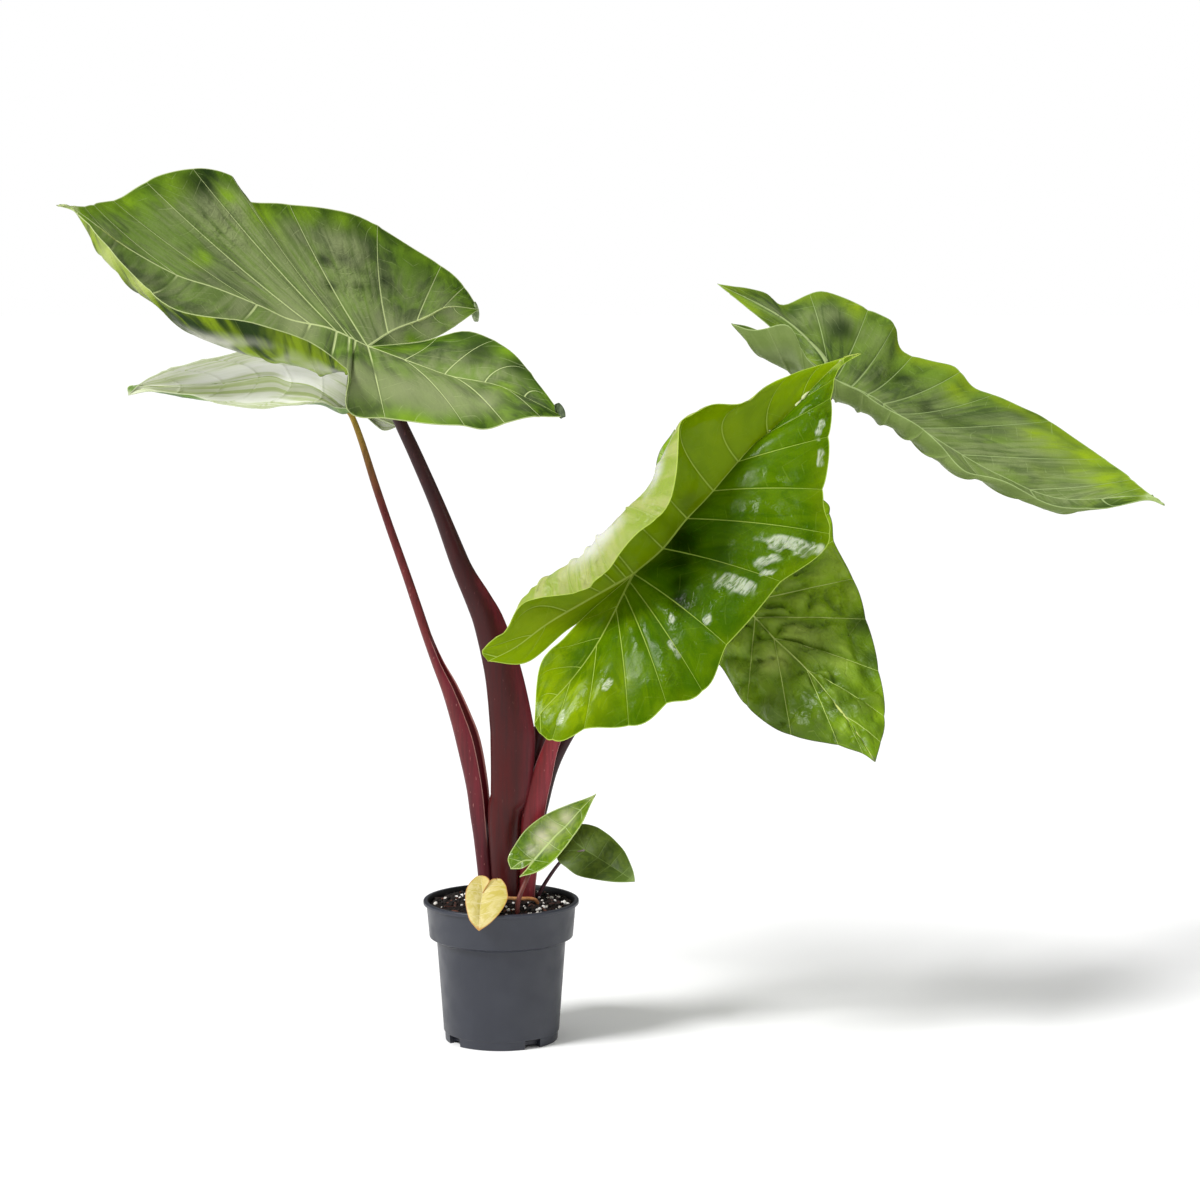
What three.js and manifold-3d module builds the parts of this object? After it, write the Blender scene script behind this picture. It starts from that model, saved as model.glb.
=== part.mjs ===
// A potted imperial red alocasia: nursery pot, soil, five large leaves, two young leaves and a spent
// yellow one. Each leaf is a stalk and a blade.
// Millimetres, +Z up. +X runs to the right of the photograph and +Y away from it.
// The origin is the middle of the foot pad under the pot.

import * as THREE from "three";
import Module from "manifold-3d";

const wasm = await Module();
wasm.setup();

// Sizes

const pot = {
  rimRadius: 85,
  height: 155,
  bandRadius: 81.5,
  bandFoot: 113,
  bodyRadius: 70.5,
  baseRadius: 62,
  wall: 1.8,
  floor: 5,
  hubRadius: 13,
  notchWidth: 15,
  notchHeight: 4.5,
  drainRadius: 5,
  drainCircle: 40,
  segments: 48,
};

const soil = {
  gap: 0.4,
  wallHeight: 148,
  mound: 9,
  roughness: 1.6,
  lumps: 12,
  segments: 36,
  seed: 7,
};

const fit = 0.35; // clear space between a stalk and what it meets
const bladeThickness = 0.9;
const stalkSides = 16;
const acrossSteps = [0, 0.07, 0.28, 0.52, 0.76, 1];
const sinusSteps = [0, 0.2, 0.6, 1];

// Leaves
//
// spanSteps: rows of the mesh from one side vein to the next.
// at: where the stalk meets the blade. All other points of a blade are offsets from it.
// midrib: from there to the tip. leftRib, rightRib: from there to the tips of the two back lobes.
// leftSinus, rightSinus: the lobes' inner margins.
// veins: one row for each pair of side veins: where it leaves the rib (0 the stalk, 1 the tip,
// -1 the tips of the lobes), where it meets the left margin, how far its middle hangs off the
// straight line, then the same two for the right.

const leaves = {
  left_high: {
    color: 0x4f8a1c,
    spanSteps: 2,
    keel: 5,
    quilt: 3,
    ripple: 2,
    at: [-141, 0, 758],
    midrib: [
      [-40, -10, 20],
      [-80, -25, 30],
      [-110, -40, 45],
      [-155, -60, 65],
      [-195, -80, 80],
      [-245, -100, 110],
      [-295, -125, 150],
      [-312, -131, 154],
    ],
    leftRib: [[45, -20, -15], [90, -30, -30], [145, -50, -40], [210, -66, -70]],
    rightRib: [[25, 50, 15], [55, 100, 25], [80, 150, 35], [113, 196, 30]],
    leftSinus: [[55, 10, 5], [110, 15, 15], [160, -15, -10]],
    rightSinus: [[30, 45, 0], [70, 100, 5]],
    veins: [
      [-0.7, [170, -85, -70], [0, -5, 6], [88, 186, 66], [0, 5, -4]],
      [-0.45, [130, -100, -80], [0, -8, 10], [55, 172, 90], [0, 8, -6]],
      [-0.2, [95, -110, -75], [0, -10, 10], [-15, 130, 135], [0, 8, -8]],
      [0, [25, -120, -68], [0, -15, 8], [-90, 80, 150], [0, 10, -8]],
      [0.04, [-14, -130, -58], [0, -22, 0], [-135, 45, 155], [0, 10, -8]],
      [0.06, [-12, -140, -18], [0, -22, -14], [-155, 32, 172], [0, 10, -8]],
      [0.1, [-45, -156, 12], [0, -20, -38], [-182, 14, 190], [0, 10, -8]],
      [0.18, [-105, -172, 35], [0, -24, -40], [-225, -20, 180], [0, 10, -8]],
      [0.35, [-185, -180, 50], [0, -24, -36], [-255, -50, 160], [0, 8, -6]],
      [0.6, [-240, -165, 95], [0, -16, -30], [-275, -85, 155], [0, 6, -4]],
      [0.8, [-270, -148, 128], [0, -10, -24], [-285, -105, 152], [0, 2, -2]],
      [0.95, [-293, -128, 147], [0, 0, 0], [-293, -124, 153], [0, 0, 0]],
    ],
  },
  left_low: {
    color: 0xa9b08a,
    spanSteps: 2,
    keel: 4,
    quilt: 2.5,
    ripple: 2.5,
    at: [-171, 70, 687],
    midrib: [
      [-35, 30, 20],
      [-65, 50, 25],
      [-90, 65, 30],
      [-145, 95, 20],
      [-210, 115, 15],
      [-250, 130, 15],
      [-253, 131, 4],
    ],
    leftRib: [[40, -12, 16], [80, -25, 25]],
    rightRib: [[30, -32, -5], [62, -60, -15]],
    leftSinus: [[25, -12, 2], [55, -27, 8]],
    rightSinus: [[22, -16, 2], [52, -42, -3]],
    veins: [
      [-0.5, [75, -25, 45], [0, 4, 0], [44, -47, -20], [0, 4, 0]],
      [-0.25, [55, -20, 55], [0, 8, 0], [16, -32, 0], [0, 8, -2]],
      [0, [30, -10, 65], [0, 10, 2], [-8, -12, 2], [0, 14, -8]],
      [0.12, [-20, 0, 70], [0, 15, 5], [-30, 5, 6], [0, 22, -8]],
      [0.27, [-65, 12, 70], [0, 15, 5], [-65, 25, 1], [0, 25, -9]],
      [0.42, [-110, 35, 62], [0, 15, 5], [-100, 45, -3], [0, 25, -9]],
      [0.58, [-155, 62, 50], [0, 12, 4], [-140, 68, 0], [0, 20, -8]],
      [0.75, [-200, 92, 36], [0, 8, 2], [-180, 88, 8], [0, 12, -8]],
      [0.9, [-232, 118, 22], [0, 2, 0], [-225, 115, 10], [0, 4, -2]],
    ],
  },
  front: {
    color: 0x93b31a,
    spanSteps: 2,
    keel: 5,
    quilt: 3,
    ripple: 2,
    at: [144, -60, 520],
    midrib: [
      [30, 8, 25],
      [55, 18, 55],
      [80, 28, 80],
      [125, 44, 130],
      [155, 55, 155],
      [220, 70, 220],
      [245, 71, 230],
    ],
    leftRib: [[-45, -5, -25], [-90, -15, -50], [-125, -22, -75], [-155, -26, -90]],
    rightRib: [[-35, -32, -65], [-65, -55, -105], [-95, -70, -135], [-105, -74, -150]],
    leftSinus: [[-40, -10, -35], [-75, -15, -55], [-115, -22, -90]],
    rightSinus: [[-45, -15, -35], [-70, -30, -65], [-97, -45, -92]],
    veins: [
      [-0.7, [-135, -30, -55], [-4, 0, 4], [-80, -88, -165], [0, -4, 2]],
      [-0.45, [-115, -38, -25], [-12, 0, 18], [-40, -90, -150], [0, -8, 4]],
      [-0.22, [-76, -48, -17], [-27, 0, 25], [2, -95, -148], [0, -10, 5]],
      [-0.12, [-59, -56, -12], [-20, 0, 33], [38, -94, -124], [0, -10, 5]],
      [-0.05, [-46, -63, -5], [-20, 0, 38], [73, -86, -113], [0, -10, 5]],
      [0, [-28, -72, 14], [-24, 0, 38], [98, -68, -68], [0, -10, 5]],
      [0.12, [5, -85, 55], [-32, 0, 26], [150, -40, -10], [0, -10, 5]],
      [0.24, [40, -80, 90], [-35, 0, 22], [206, -14, 35], [0, -10, 5]],
      [0.36, [45, -60, 145], [-29, 0, 14], [201, 6, 75], [0, -10, 5]],
      [0.48, [60, -25, 175], [-22, 0, 8], [208, 32, 128], [0, -8, 4]],
      [0.61, [110, 25, 180], [-8, 0, 8], [212, 50, 175], [0, -6, 2]],
      [0.76, [160, 58, 205], [0, 0, 4], [215, 62, 200], [0, -3, 0]],
      [0.94, [218, 71, 223], [0, 0, 0], [224, 69, 217], [0, 0, 0]],
    ],
  },
  hanging: {
    color: 0x35601f,
    spanSteps: 3,
    keel: 4,
    quilt: 4,
    ripple: 1.5,
    at: [270, 0, 471],
    midrib: [[25, -25, -25], [60, -65, -55], [95, -108, -95], [126, -152, -138]],
    leftRib: [[20, 60, 70], [40, 110, 135]],
    rightRib: [[-35, 60, 70], [-80, 100, 190]],
    leftSinus: [[5, 30, 30], [20, 75, 90]],
    rightSinus: [[-10, 30, 32], [-50, 80, 110]],
    veins: [
      [-0.6, [85, 100, 110], [0, -6, 6], [-100, 90, 150], [0, -6, 4]],
      [-0.3, [92, 80, 92], [0, -8, 8], [-90, 50, 50], [0, -8, 4]],
      [0, [96, 52, 66], [0, -10, 10], [-50, 10, -40], [0, -8, 6]],
      [0.15, [115, 25, 30], [0, -10, 12], [-30, -10, -60], [0, -10, 8]],
      [0.35, [125, -10, -5], [0, -10, 12], [-5, -40, -95], [0, -12, 8]],
      [0.55, [135, -50, -50], [0, -8, 10], [35, -75, -120], [0, -10, 8]],
      [0.75, [140, -90, -90], [0, -5, 6], [80, -110, -125], [0, -6, 4]],
      [0.9, [135, -122, -116], [0, -2, 2], [110, -137, -130], [0, -2, 2]],
    ],
  },
  right: {
    color: 0x4c8a1e,
    spanSteps: 2,
    keel: 5,
    quilt: 3,
    ripple: 2,
    at: [368, 130, 713],
    midrib: [
      [25, -6, -10],
      [45, -12, -20],
      [82, -22, -45],
      [132, -35, -76],
      [178, -47, -101],
      [245, -60, -126],
      [336, -80, -121],
      [356, -84, -131],
    ],
    leftRib: [[-15, 40, 30], [-56, 75, 66], [-127, 100, 102]],
    rightRib: [[-40, -20, 10], [-80, -40, 35], [-117, -60, 66]],
    leftSinus: [[-20, 35, 10], [-70, 70, 56], [-107, 90, 86]],
    rightSinus: [[-25, -5, 20], [-60, -15, 45], [-97, -35, 61]],
    veins: [
      [-0.6, [-76, 120, 92], [0, 2, -4], [-92, -75, 60], [0, -12, -15]],
      [-0.35, [-51, 130, 77], [0, 4, -6], [-56, -85, 65], [0, -18, -20]],
      [-0.15, [-5, 140, 92], [0, 6, -8], [-36, -90, 30], [0, -20, -22]],
      [0, [46, 140, 70], [0, 6, -8], [-5, -95, 8], [0, -22, -22]],
      [0.05, [74, 136, 56], [0, 6, -8], [22, -97, -5], [0, -22, -22]],
      [0.1, [87, 124, 22], [0, 6, -8], [48, -100, -22], [0, -22, -22]],
      [0.15, [139, 108, 9], [0, 6, -8], [82, -102, -40], [0, -22, -22]],
      [0.2, [167, 92, -16], [0, 6, -8], [108, -106, -62], [0, -22, -20]],
      [0.27, [216, 70, -34], [0, 6, -6], [135, -110, -90], [0, -20, -18]],
      [0.41, [270, 20, -66], [0, 4, -4], [178, -115, -101], [0, -18, -16]],
      [0.62, [311, -30, -95], [0, 2, -2], [229, -110, -127], [0, -12, -12]],
      [0.82, [329, -62, -110], [0, 0, 0], [290, -95, -132], [0, -4, -4]],
      [0.94, [339, -78, -118], [0, 0, 0], [335, -84, -125], [0, 0, 0]],
    ],
  },
  young_front: {
    color: 0x86ab1e,
    spanSteps: 2,
    keel: 2,
    quilt: 0.8,
    ripple: 0.4,
    at: [37, -55, 209],
    midrib: [[21, 18, 21], [35, 27, 33], [52, 40, 50], [67, 52, 63]],
    leftRib: [[-12, -4, 0], [-25, -8, -8]],
    rightRib: [[-7, -8, -8], [-15, -14, -15]],
    leftSinus: [[-12, -8, -7]],
    rightSinus: [[-8, -10, -9]],
    veins: [
      [-0.5, [-28, -2, 3], [0, 0, 0], [3, -14, -10], [0, 0, 0]],
      [0, [-20, 6, 17], [0, 2, -2], [18, -6, -2], [0, 0, 0]],
      [0.25, [-8, 14, 32], [0, 2, -2], [30, 4, 9], [0, 1, -1]],
      [0.5, [12, 26, 45], [0, 2, -2], [42, 16, 23], [0, 1, -1]],
      [0.75, [36, 36, 54], [0, 1, -1], [52, 28, 36], [0, 1, -1]],
      [0.9, [54, 44, 59], [0, 0, 0], [60, 41, 51], [0, 0, 0]],
    ],
  },
  young_back: {
    color: 0x37511a,
    spanSteps: 2,
    keel: 2,
    quilt: 0.6,
    ripple: 0.4,
    at: [92, 10, 207],
    midrib: [[16, -9, -8], [36, -20, -19], [54, -32, -28]],
    leftRib: [[-6, 12, 11], [-13, 22, 21]],
    rightRib: [[-16, 3, -1], [-32, 6, -3]],
    leftSinus: [[-12, 14, 9]],
    rightSinus: [[-20, 9, 3]],
    veins: [
      [-0.5, [-2, 22, 25], [0, 0, 0], [-30, -2, -11], [0, 0, 0]],
      [0, [13, 18, 22], [0, -1, 1], [-21, -10, -17], [0, -1, 1]],
      [0.25, [28, 6, 14], [0, -1, 1], [-9, -18, -24], [0, -1, 1]],
      [0.5, [42, -6, 1], [0, -1, 1], [8, -24, -27], [0, -1, 1]],
      [0.75, [50, -18, -13], [0, 0, 0], [29, -29, -29], [0, 0, 0]],
      [0.9, [53, -26, -21], [0, 0, 0], [44, -31, -29], [0, 0, 0]],
    ],
  },
  spent: {
    color: 0xd8c25a,
    spanSteps: 2,
    keel: 1.2,
    quilt: 0.4,
    ripple: 0.5,
    at: [-18, -66, 175],
    midrib: [[-2, -12, -10], [-3, -24, -22], [-3, -36, -33]],
    leftRib: [[6, 3, 7], [13, 5, 14]],
    rightRib: [[-3, 4, 9], [-2, 8, 18]],
    leftSinus: [[6, 1, 9]],
    rightSinus: [[2, 3, 9]],
    veins: [
      [-0.5, [22, 3, 12], [0, 0, 0], [-10, 4, 12], [0, 0, 0]],
      [0, [26, -3, 5], [0, -1, 1], [-18, -4, 3], [0, -1, 1]],
      [0.3, [27, -11, -3], [0, -1, 1], [-18, -13, -8], [0, -1, 1]],
      [0.6, [21, -20, -14], [0, -1, 1], [-14, -26, -22], [0, -1, 1]],
      [0.85, [10, -29, -25], [0, 0, 0], [-8, -32, -29], [0, 0, 0]],
    ],
  },
};

// Stalks
//
// Each row: the middle [x, y, z], half the width, half the depth, and how far the sheath stands
// open, from 0 to 1. The stalk ends under its blade. opening: where the sheath opens, in degrees
// from +X towards +Y.

const stalks = {
  left_high: {
    color: 0x4a2227,
    opening: 50,
    rows: [
      [[5, -4, 112], 11, 9, 0],
      [[5, -4, 167], 14, 11, 0],
      [[4, -5, 248], 18, 12, 0.2],
      [[10, -6, 275], 21, 13, 0.5],
      [[12, -6, 327], 23, 13, 0.8],
      [[10, -6, 353], 22, 13, 0.9],
      [[2, -6, 405], 19, 12, 0.9],
      [[-12, -5, 457], 16, 11, 0.8],
      [[-26, -5, 485], 12.5, 10.5, 0.5],
      [[-43, -4, 525], 10.5, 9.5, 0.1],
      [[-66, -3, 585], 8.2, 8.2, 0],
      [[-90, -2, 641], 7.3, 7.3, 0],
      [[-107, -1, 678], 6.8, 6.8, 0],
      [[-126, 0, 722], 6, 6, 0],
      [[-141, 0, 758], 4.5, 4.5, 0],
    ],
  },
  left_low: {
    color: 0x7d4338,
    opening: -15,
    rows: [
      [[-17, 3, 112], 6.5, 6.5, 0],
      [[-17, 3, 167], 7, 8, 0],
      [[-21, 4, 214], 7, 8, 0.1],
      [[-27, 5, 282], 9, 9, 0.6],
      [[-36, 7, 325], 10, 9, 0.9],
      [[-43, 9, 353], 10, 9, 1],
      [[-71, 16, 414], 7.5, 7, 0.5],
      [[-101, 30, 503], 4.8, 4.8, 0],
      [[-123, 42, 564], 4.4, 4.4, 0],
      [[-138, 52, 607], 4.2, 4.2, 0],
      [[-152, 61, 650], 3.6, 3.6, 0],
      [[-163, 67, 678], 3.2, 3.2, 0],
      [[-171, 70, 687], 3, 3, 0],
    ],
  },
  front: {
    color: 0x7a3a3c,
    opening: 100,
    rows: [
      [[31, -2, 112], 8, 7, 0],
      [[31, -2, 167], 8.5, 8, 0],
      [[38, -3, 253], 12, 9, 0.3],
      [[60, -8, 330], 8.7, 8, 0.3],
      [[81, -15, 385], 7.5, 7, 0],
      [[108, -26, 440], 6.5, 6, 0],
      [[130, -42, 492], 5.5, 5, 0],
      [[144, -60, 520], 4.5, 4.5, 0],
    ],
  },
  hanging: {
    color: 0x5a2c2c,
    opening: 90,
    rows: [
      [[13, 19, 112], 6, 6, 0],
      [[13, 19, 167], 6.5, 6.5, 0],
      [[23, 20, 253], 7, 7, 0],
      [[39, 18, 335], 6.5, 6.5, 0],
      [[64, 14, 385], 6, 6, 0],
      [[108, 8, 430], 5.5, 5.5, 0],
      [[162, 5, 462], 5, 5, 0],
      [[216, 8, 473], 4.5, 4.5, 0],
      [[254, 9, 471], 4, 4, 0],
      [[270, 0, 471], 3.6, 3.6, 0],
    ],
  },
  right: {
    color: 0x3a1f22,
    opening: 90,
    rows: [
      [[30, 18, 112], 6.5, 6.5, 0],
      [[30, 18, 167], 7.5, 7.5, 0],
      [[43, 20, 253], 8, 7.5, 0],
      [[71, 27, 330], 7.5, 7, 0],
      [[160, 72, 450], 6.5, 6.5, 0],
      [[250, 103, 570], 5.5, 5.5, 0],
      [[324, 121, 648], 5, 5, 0],
      [[362, 129, 695], 4.5, 4.5, 0],
      [[368, 130, 713], 4.2, 4.2, 0],
    ],
  },
  young_front: {
    color: 0x7c4a41,
    opening: 0,
    rows: [
      [[19, -61, 138], 2.6, 2.6, 0],
      [[20, -59, 165], 2.6, 2.6, 0],
      [[31, -50, 192], 2.2, 2.2, 0],
      [[36, -51, 204], 2, 2, 0],
      [[37, -55, 209], 1.8, 1.8, 0],
    ],
  },
  young_back: {
    color: 0x6d5660,
    opening: 0,
    rows: [
      [[38, 9, 140], 2.2, 2.2, 0],
      [[42, 10, 160], 2.2, 2.2, 0],
      [[64, 12, 193], 1.9, 1.9, 0],
      [[80, 11, 203], 1.7, 1.7, 0],
      [[92, 10, 207], 1.5, 1.5, 0],
    ],
  },
  spent: {
    color: 0xc08a55,
    opening: 0,
    rows: [
      [[42, -22, 148], 2, 2, 0],
      [[37, -27, 160], 2, 2, 0],
      [[16, -36, 163], 2, 2, 0],
      [[-6, -50, 168], 1.6, 1.6, 0],
      [[-18, -66, 175], 1.2, 1.2, 0],
    ],
  },
};

// Small tools

const add = (a, b) => a.map((v, i) => v + b[i]);
const sub = (a, b) => a.map((v, i) => v - b[i]);
const scale = (a, s) => a.map((v) => v * s);
const dot = (a, b) => a[0] * b[0] + a[1] * b[1] + a[2] * b[2];
const mix = (a, b, t) => a.map((v, i) => v + (b[i] - v) * t);
const cross = (a, b) => [
  a[1] * b[2] - a[2] * b[1],
  a[2] * b[0] - a[0] * b[2],
  a[0] * b[1] - a[1] * b[0],
];
const unit = (a) => scale(a, 1 / (Math.sqrt(dot(a, a)) || 1));

// A seeded run of numbers from 0 to 1.
function seeded(seed) {
  let state = seed;
  return () => {
    state = (state * 16807) % 2147483647;
    return state / 2147483647;
  };
}

// The smooth curve through evenly spaced points, at t from 0 to 1.
function smooth(points, t) {
  const spans = points.length - 1;
  const place = Math.min(Math.max(t, 0), 1) * spans;
  const i = Math.min(Math.floor(place), spans - 1);
  const u = place - i;
  const p1 = points[i];
  const p2 = points[i + 1];
  const p0 = i > 0 ? points[i - 1] : sub(scale(p1, 2), p2);
  const p3 = i < spans - 1 ? points[i + 2] : sub(scale(p2, 2), p1);
  return p1.map((v, k) => {
    const m1 = (p2[k] - p0[k]) / 2;
    const m2 = (p3[k] - p1[k]) / 2;
    const rise = p2[k] - v;
    return v + u * (m1 + u * (3 * rise - 2 * m1 - m2 + u * (m1 + m2 - 2 * rise)));
  });
}

// The smooth curve's point at a fraction of its length.
function alongCurve(points) {
  const samples = [];
  for (let i = 0; i <= 80; i++) samples.push(smooth(points, i / 80));
  const lengths = [0];
  for (let i = 1; i <= 80; i++) {
    const step = sub(samples[i], samples[i - 1]);
    lengths.push(lengths[i - 1] + Math.sqrt(dot(step, step)));
  }
  return (fraction) => {
    const goal = fraction * lengths[80];
    let i = 0;
    while (i < 79 && lengths[i + 1] < goal) i++;
    const span = lengths[i + 1] - lengths[i];
    return mix(samples[i], samples[i + 1], span ? (goal - lengths[i]) / span : 0);
  };
}

// A solid from points and triangles that face out. Points within a micrometre are one.
function solidFrom(points, faces) {
  const seen = new Map();
  const coordinates = [];
  const index = points.map((p) => {
    const key = p.map((v) => Math.round(v * 1000)).join();
    if (!seen.has(key)) {
      seen.set(key, coordinates.length / 3);
      coordinates.push(...p);
    }
    return seen.get(key);
  });
  const kept = faces
    .map((face) => face.map((i) => index[i]))
    .filter(([a, b, c]) => a !== b && b !== c && c !== a);
  return new wasm.Manifold(
    new wasm.Mesh({
      numProp: 3,
      vertProperties: new Float32Array(coordinates),
      triVerts: new Uint32Array(kept.flat()),
    }),
  );
}

// A three.js geometry as a solid.
function solidOf(geometry) {
  const position = geometry.getAttribute("position");
  const points = [];
  for (let i = 0; i < position.count; i++) {
    points.push([position.getX(i), position.getY(i), position.getZ(i)]);
  }
  const order = geometry.index ? [...geometry.index.array] : points.map((_, i) => i);
  const faces = [];
  for (let i = 0; i < order.length; i += 3) faces.push(order.slice(i, i + 3));
  return solidFrom(points, faces);
}

const largest = (solid) =>
  solid.decompose().reduce((a, b) => (b.volume() > a.volume() ? b : a));

const group = new THREE.Group();
group.name = "potted_alocasia";

// Adds a solid to the group as a named mesh.
function place(name, solid, color, roughness) {
  const mesh = solid.getMesh();
  const count = mesh.numProp;
  const xyz = new Float32Array(mesh.numVert * 3);
  for (let i = 0; i < mesh.numVert; i++) {
    xyz.set(mesh.vertProperties.subarray(i * count, i * count + 3), i * 3);
  }
  const geometry = new THREE.BufferGeometry();
  geometry.setAttribute("position", new THREE.BufferAttribute(xyz, 3));
  geometry.setIndex(new THREE.BufferAttribute(mesh.triVerts, 1));
  geometry.computeVertexNormals();
  const piece = new THREE.Mesh(geometry, new THREE.MeshStandardMaterial({ color, roughness }));
  piece.name = name;
  group.add(piece);
}

// Blades

// The middle surface of a blade as points and triangles, with each point's depth of keel.
function bladeSurface(leaf) {
  const start = [0, 0, 0];
  const { spanSteps } = leaf;
  const tip = leaf.midrib.at(-1);
  const midrib = alongCurve([start, ...leaf.midrib]);
  const points = [];
  const keels = [];
  const lifts = [];
  const faces = [];
  const known = new Map();
  const note = (point, keel, lift) => {
    const key = point.map((v) => Math.round(v * 1000)).join();
    if (!known.has(key)) {
      known.set(key, points.length);
      points.push(point);
      keels.push(keel);
      lifts.push(lift);
    }
    return known.get(key);
  };
  const stitch = (grid, flip) => {
    for (let i = 0; i + 1 < grid.length; i++) {
      for (let j = 0; j + 1 < grid[i].length; j++) {
        const [a, b, c, d] = [grid[i][j], grid[i + 1][j], grid[i + 1][j + 1], grid[i][j + 1]];
        for (const face of [[a, b, c], [a, c, d]]) {
          if (new Set(face).size === 3) faces.push(flip ? face.toReversed() : face);
        }
      }
    }
  };

  for (const side of [0, 1]) {
    const rib = side ? leaf.rightRib : leaf.leftRib;
    const sinus = side ? leaf.rightSinus : leaf.leftSinus;
    const lobe = rib.at(-1);
    const lobeRib = alongCurve([start, ...rib]);
    const inner = [start, ...sinus, lobe];
    const places = [-1, ...leaf.veins.map((v) => v[0]), 1];
    const edges = [lobe, ...leaf.veins.map((v) => v[1 + 2 * side]), tip];
    const bows = [start, ...leaf.veins.map((v) => v[2 + 2 * side]), start];
    const last = places.length - 1;
    const outerGrid = [];
    const innerGrid = [];
    for (let i = 0; i <= last * spanSteps; i++) {
      const k = i / spanSteps;
      const between = Math.sin(Math.PI * k) ** 2;
      const fade = Math.min(1, 3 * Math.min(k, last - k) / last);
      const [s] = smooth(places.map((v) => [v]), k / last);
      const root = s < 0 ? lobeRib(-s) : midrib(s);
      const edge = smooth(edges, k / last);
      const bow = smooth(bows, k / last);
      const keel = leaf.keel * (s < 0 ? 0.6 * (1 + s) : 1 - 0.85 * s);
      const control = add(mix(root, edge, 0.5), scale(bow, 2));
      outerGrid.push(
        acrossSteps.map((w) => {
          const point = mix(mix(root, control, w), mix(control, edge, w), w);
          const quilt = leaf.quilt * between * 4 * w * (1 - w);
          const ripple = leaf.ripple * (0.5 - between) * w ** 3;
          return note(point, w === 0 ? keel : 0, fade * (quilt + ripple));
        }),
      );
      if (s < 1e-9) {
        const margin = smooth(inner, -s);
        innerGrid.push(
          sinusSteps.map((w) => note(mix(root, margin, w), w === 0 ? keel : 0, 0)),
        );
      }
    }
    stitch(outerGrid, side === 1);
    stitch(innerGrid, side === 0);
  }
  return { points, keels, lifts, faces };
}

function normalsOf(points, faces) {
  const normals = points.map(() => [0, 0, 0]);
  for (const [a, b, c] of faces) {
    const n = cross(sub(points[b], points[a]), sub(points[c], points[a]));
    for (const i of [a, b, c]) normals[i] = add(normals[i], n);
  }
  return normals.map(unit);
}

// A blade as a solid: the surface thickened both ways, with the ribs as keels underneath.
function bladeSolid(leaf, extra = 0) {
  const { points, keels, lifts, faces } = bladeSurface(leaf);
  const flat = normalsOf(points, faces);
  const raised = points.map((p, i) => add(p, scale(flat[i], lifts[i])));
  const normals = normalsOf(raised, faces);
  const half = bladeThickness / 2 + extra;
  const top = raised.map((p, i) => add(leaf.at, add(p, scale(normals[i], half))));
  const under = raised.map((p, i) => add(leaf.at, add(p, scale(normals[i], -half - keels[i]))));
  const count = points.length;
  const walls = [];
  const edges = new Set(faces.flatMap(([a, b, c]) => [`${a},${b}`, `${b},${c}`, `${c},${a}`]));
  for (const edge of edges) {
    const [a, b] = edge.split(",").map(Number);
    if (!edges.has(`${b},${a}`)) walls.push([b, a, a + count], [b, a + count, b + count]);
  }
  const back = faces.map(([a, b, c]) => [c + count, b + count, a + count]);
  return solidFrom([...top, ...under], [...faces, ...back, ...walls]);
}

// Stalks

// How far out a stalk's surface stands, against its plain round section.
function sheathFactor(angle, opening, open) {
  const turn = Math.abs(((angle - opening + 540) % 360) - 180);
  const shape = smooth([[0.2], [0.35], [1.12], [1.08], [1], [1], [1]], turn / 180)[0];
  return 1 + open * (shape - 1);
}

function stalkSolid(stalk, extra = 0) {
  const rows = stalk.rows;
  const centres = rows.map((row) => row[0]);
  const sizes = rows.map((row) => row.slice(1));
  const steps = Math.round((rows.length - 1) * 1.6);
  const points = [];
  const faces = [];
  for (let i = 0; i <= steps; i++) {
    const t = i / steps;
    const centre = smooth(centres, t);
    const ahead = sub(smooth(centres, t + 0.01), smooth(centres, t - 0.01));
    const along = unit(ahead);
    const deep = unit(sub([0, 1, 0], scale(along, along[1])));
    const across = cross(deep, along);
    const [width, depth, open] = smooth(sizes, t);
    for (let j = 0; j < stalkSides; j++) {
      const angle = (360 * j) / stalkSides;
      const factor = sheathFactor(angle, stalk.opening, open);
      const turn = (angle * Math.PI) / 180;
      const x = (width * factor + extra) * Math.cos(turn);
      const y = (depth * factor + extra) * Math.sin(turn);
      points.push(add(centre, add(scale(across, x), scale(deep, y))));
    }
  }
  const ring = (i, j) => i * stalkSides + (j % stalkSides);
  for (let i = 0; i < steps; i++) {
    for (let j = 0; j < stalkSides; j++) {
      faces.push([ring(i, j), ring(i, j + 1), ring(i + 1, j + 1)]);
      faces.push([ring(i, j), ring(i + 1, j + 1), ring(i + 1, j)]);
    }
  }
  const ends = [points.length, points.length + 1];
  points.push(smooth(centres, 0), smooth(centres, 1));
  for (let j = 0; j < stalkSides; j++) {
    faces.push([ends[0], ring(0, j + 1), ring(0, j)]);
    faces.push([ends[1], ring(steps, j), ring(steps, j + 1)]);
  }
  return solidFrom(points, faces);
}

// Pot

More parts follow.
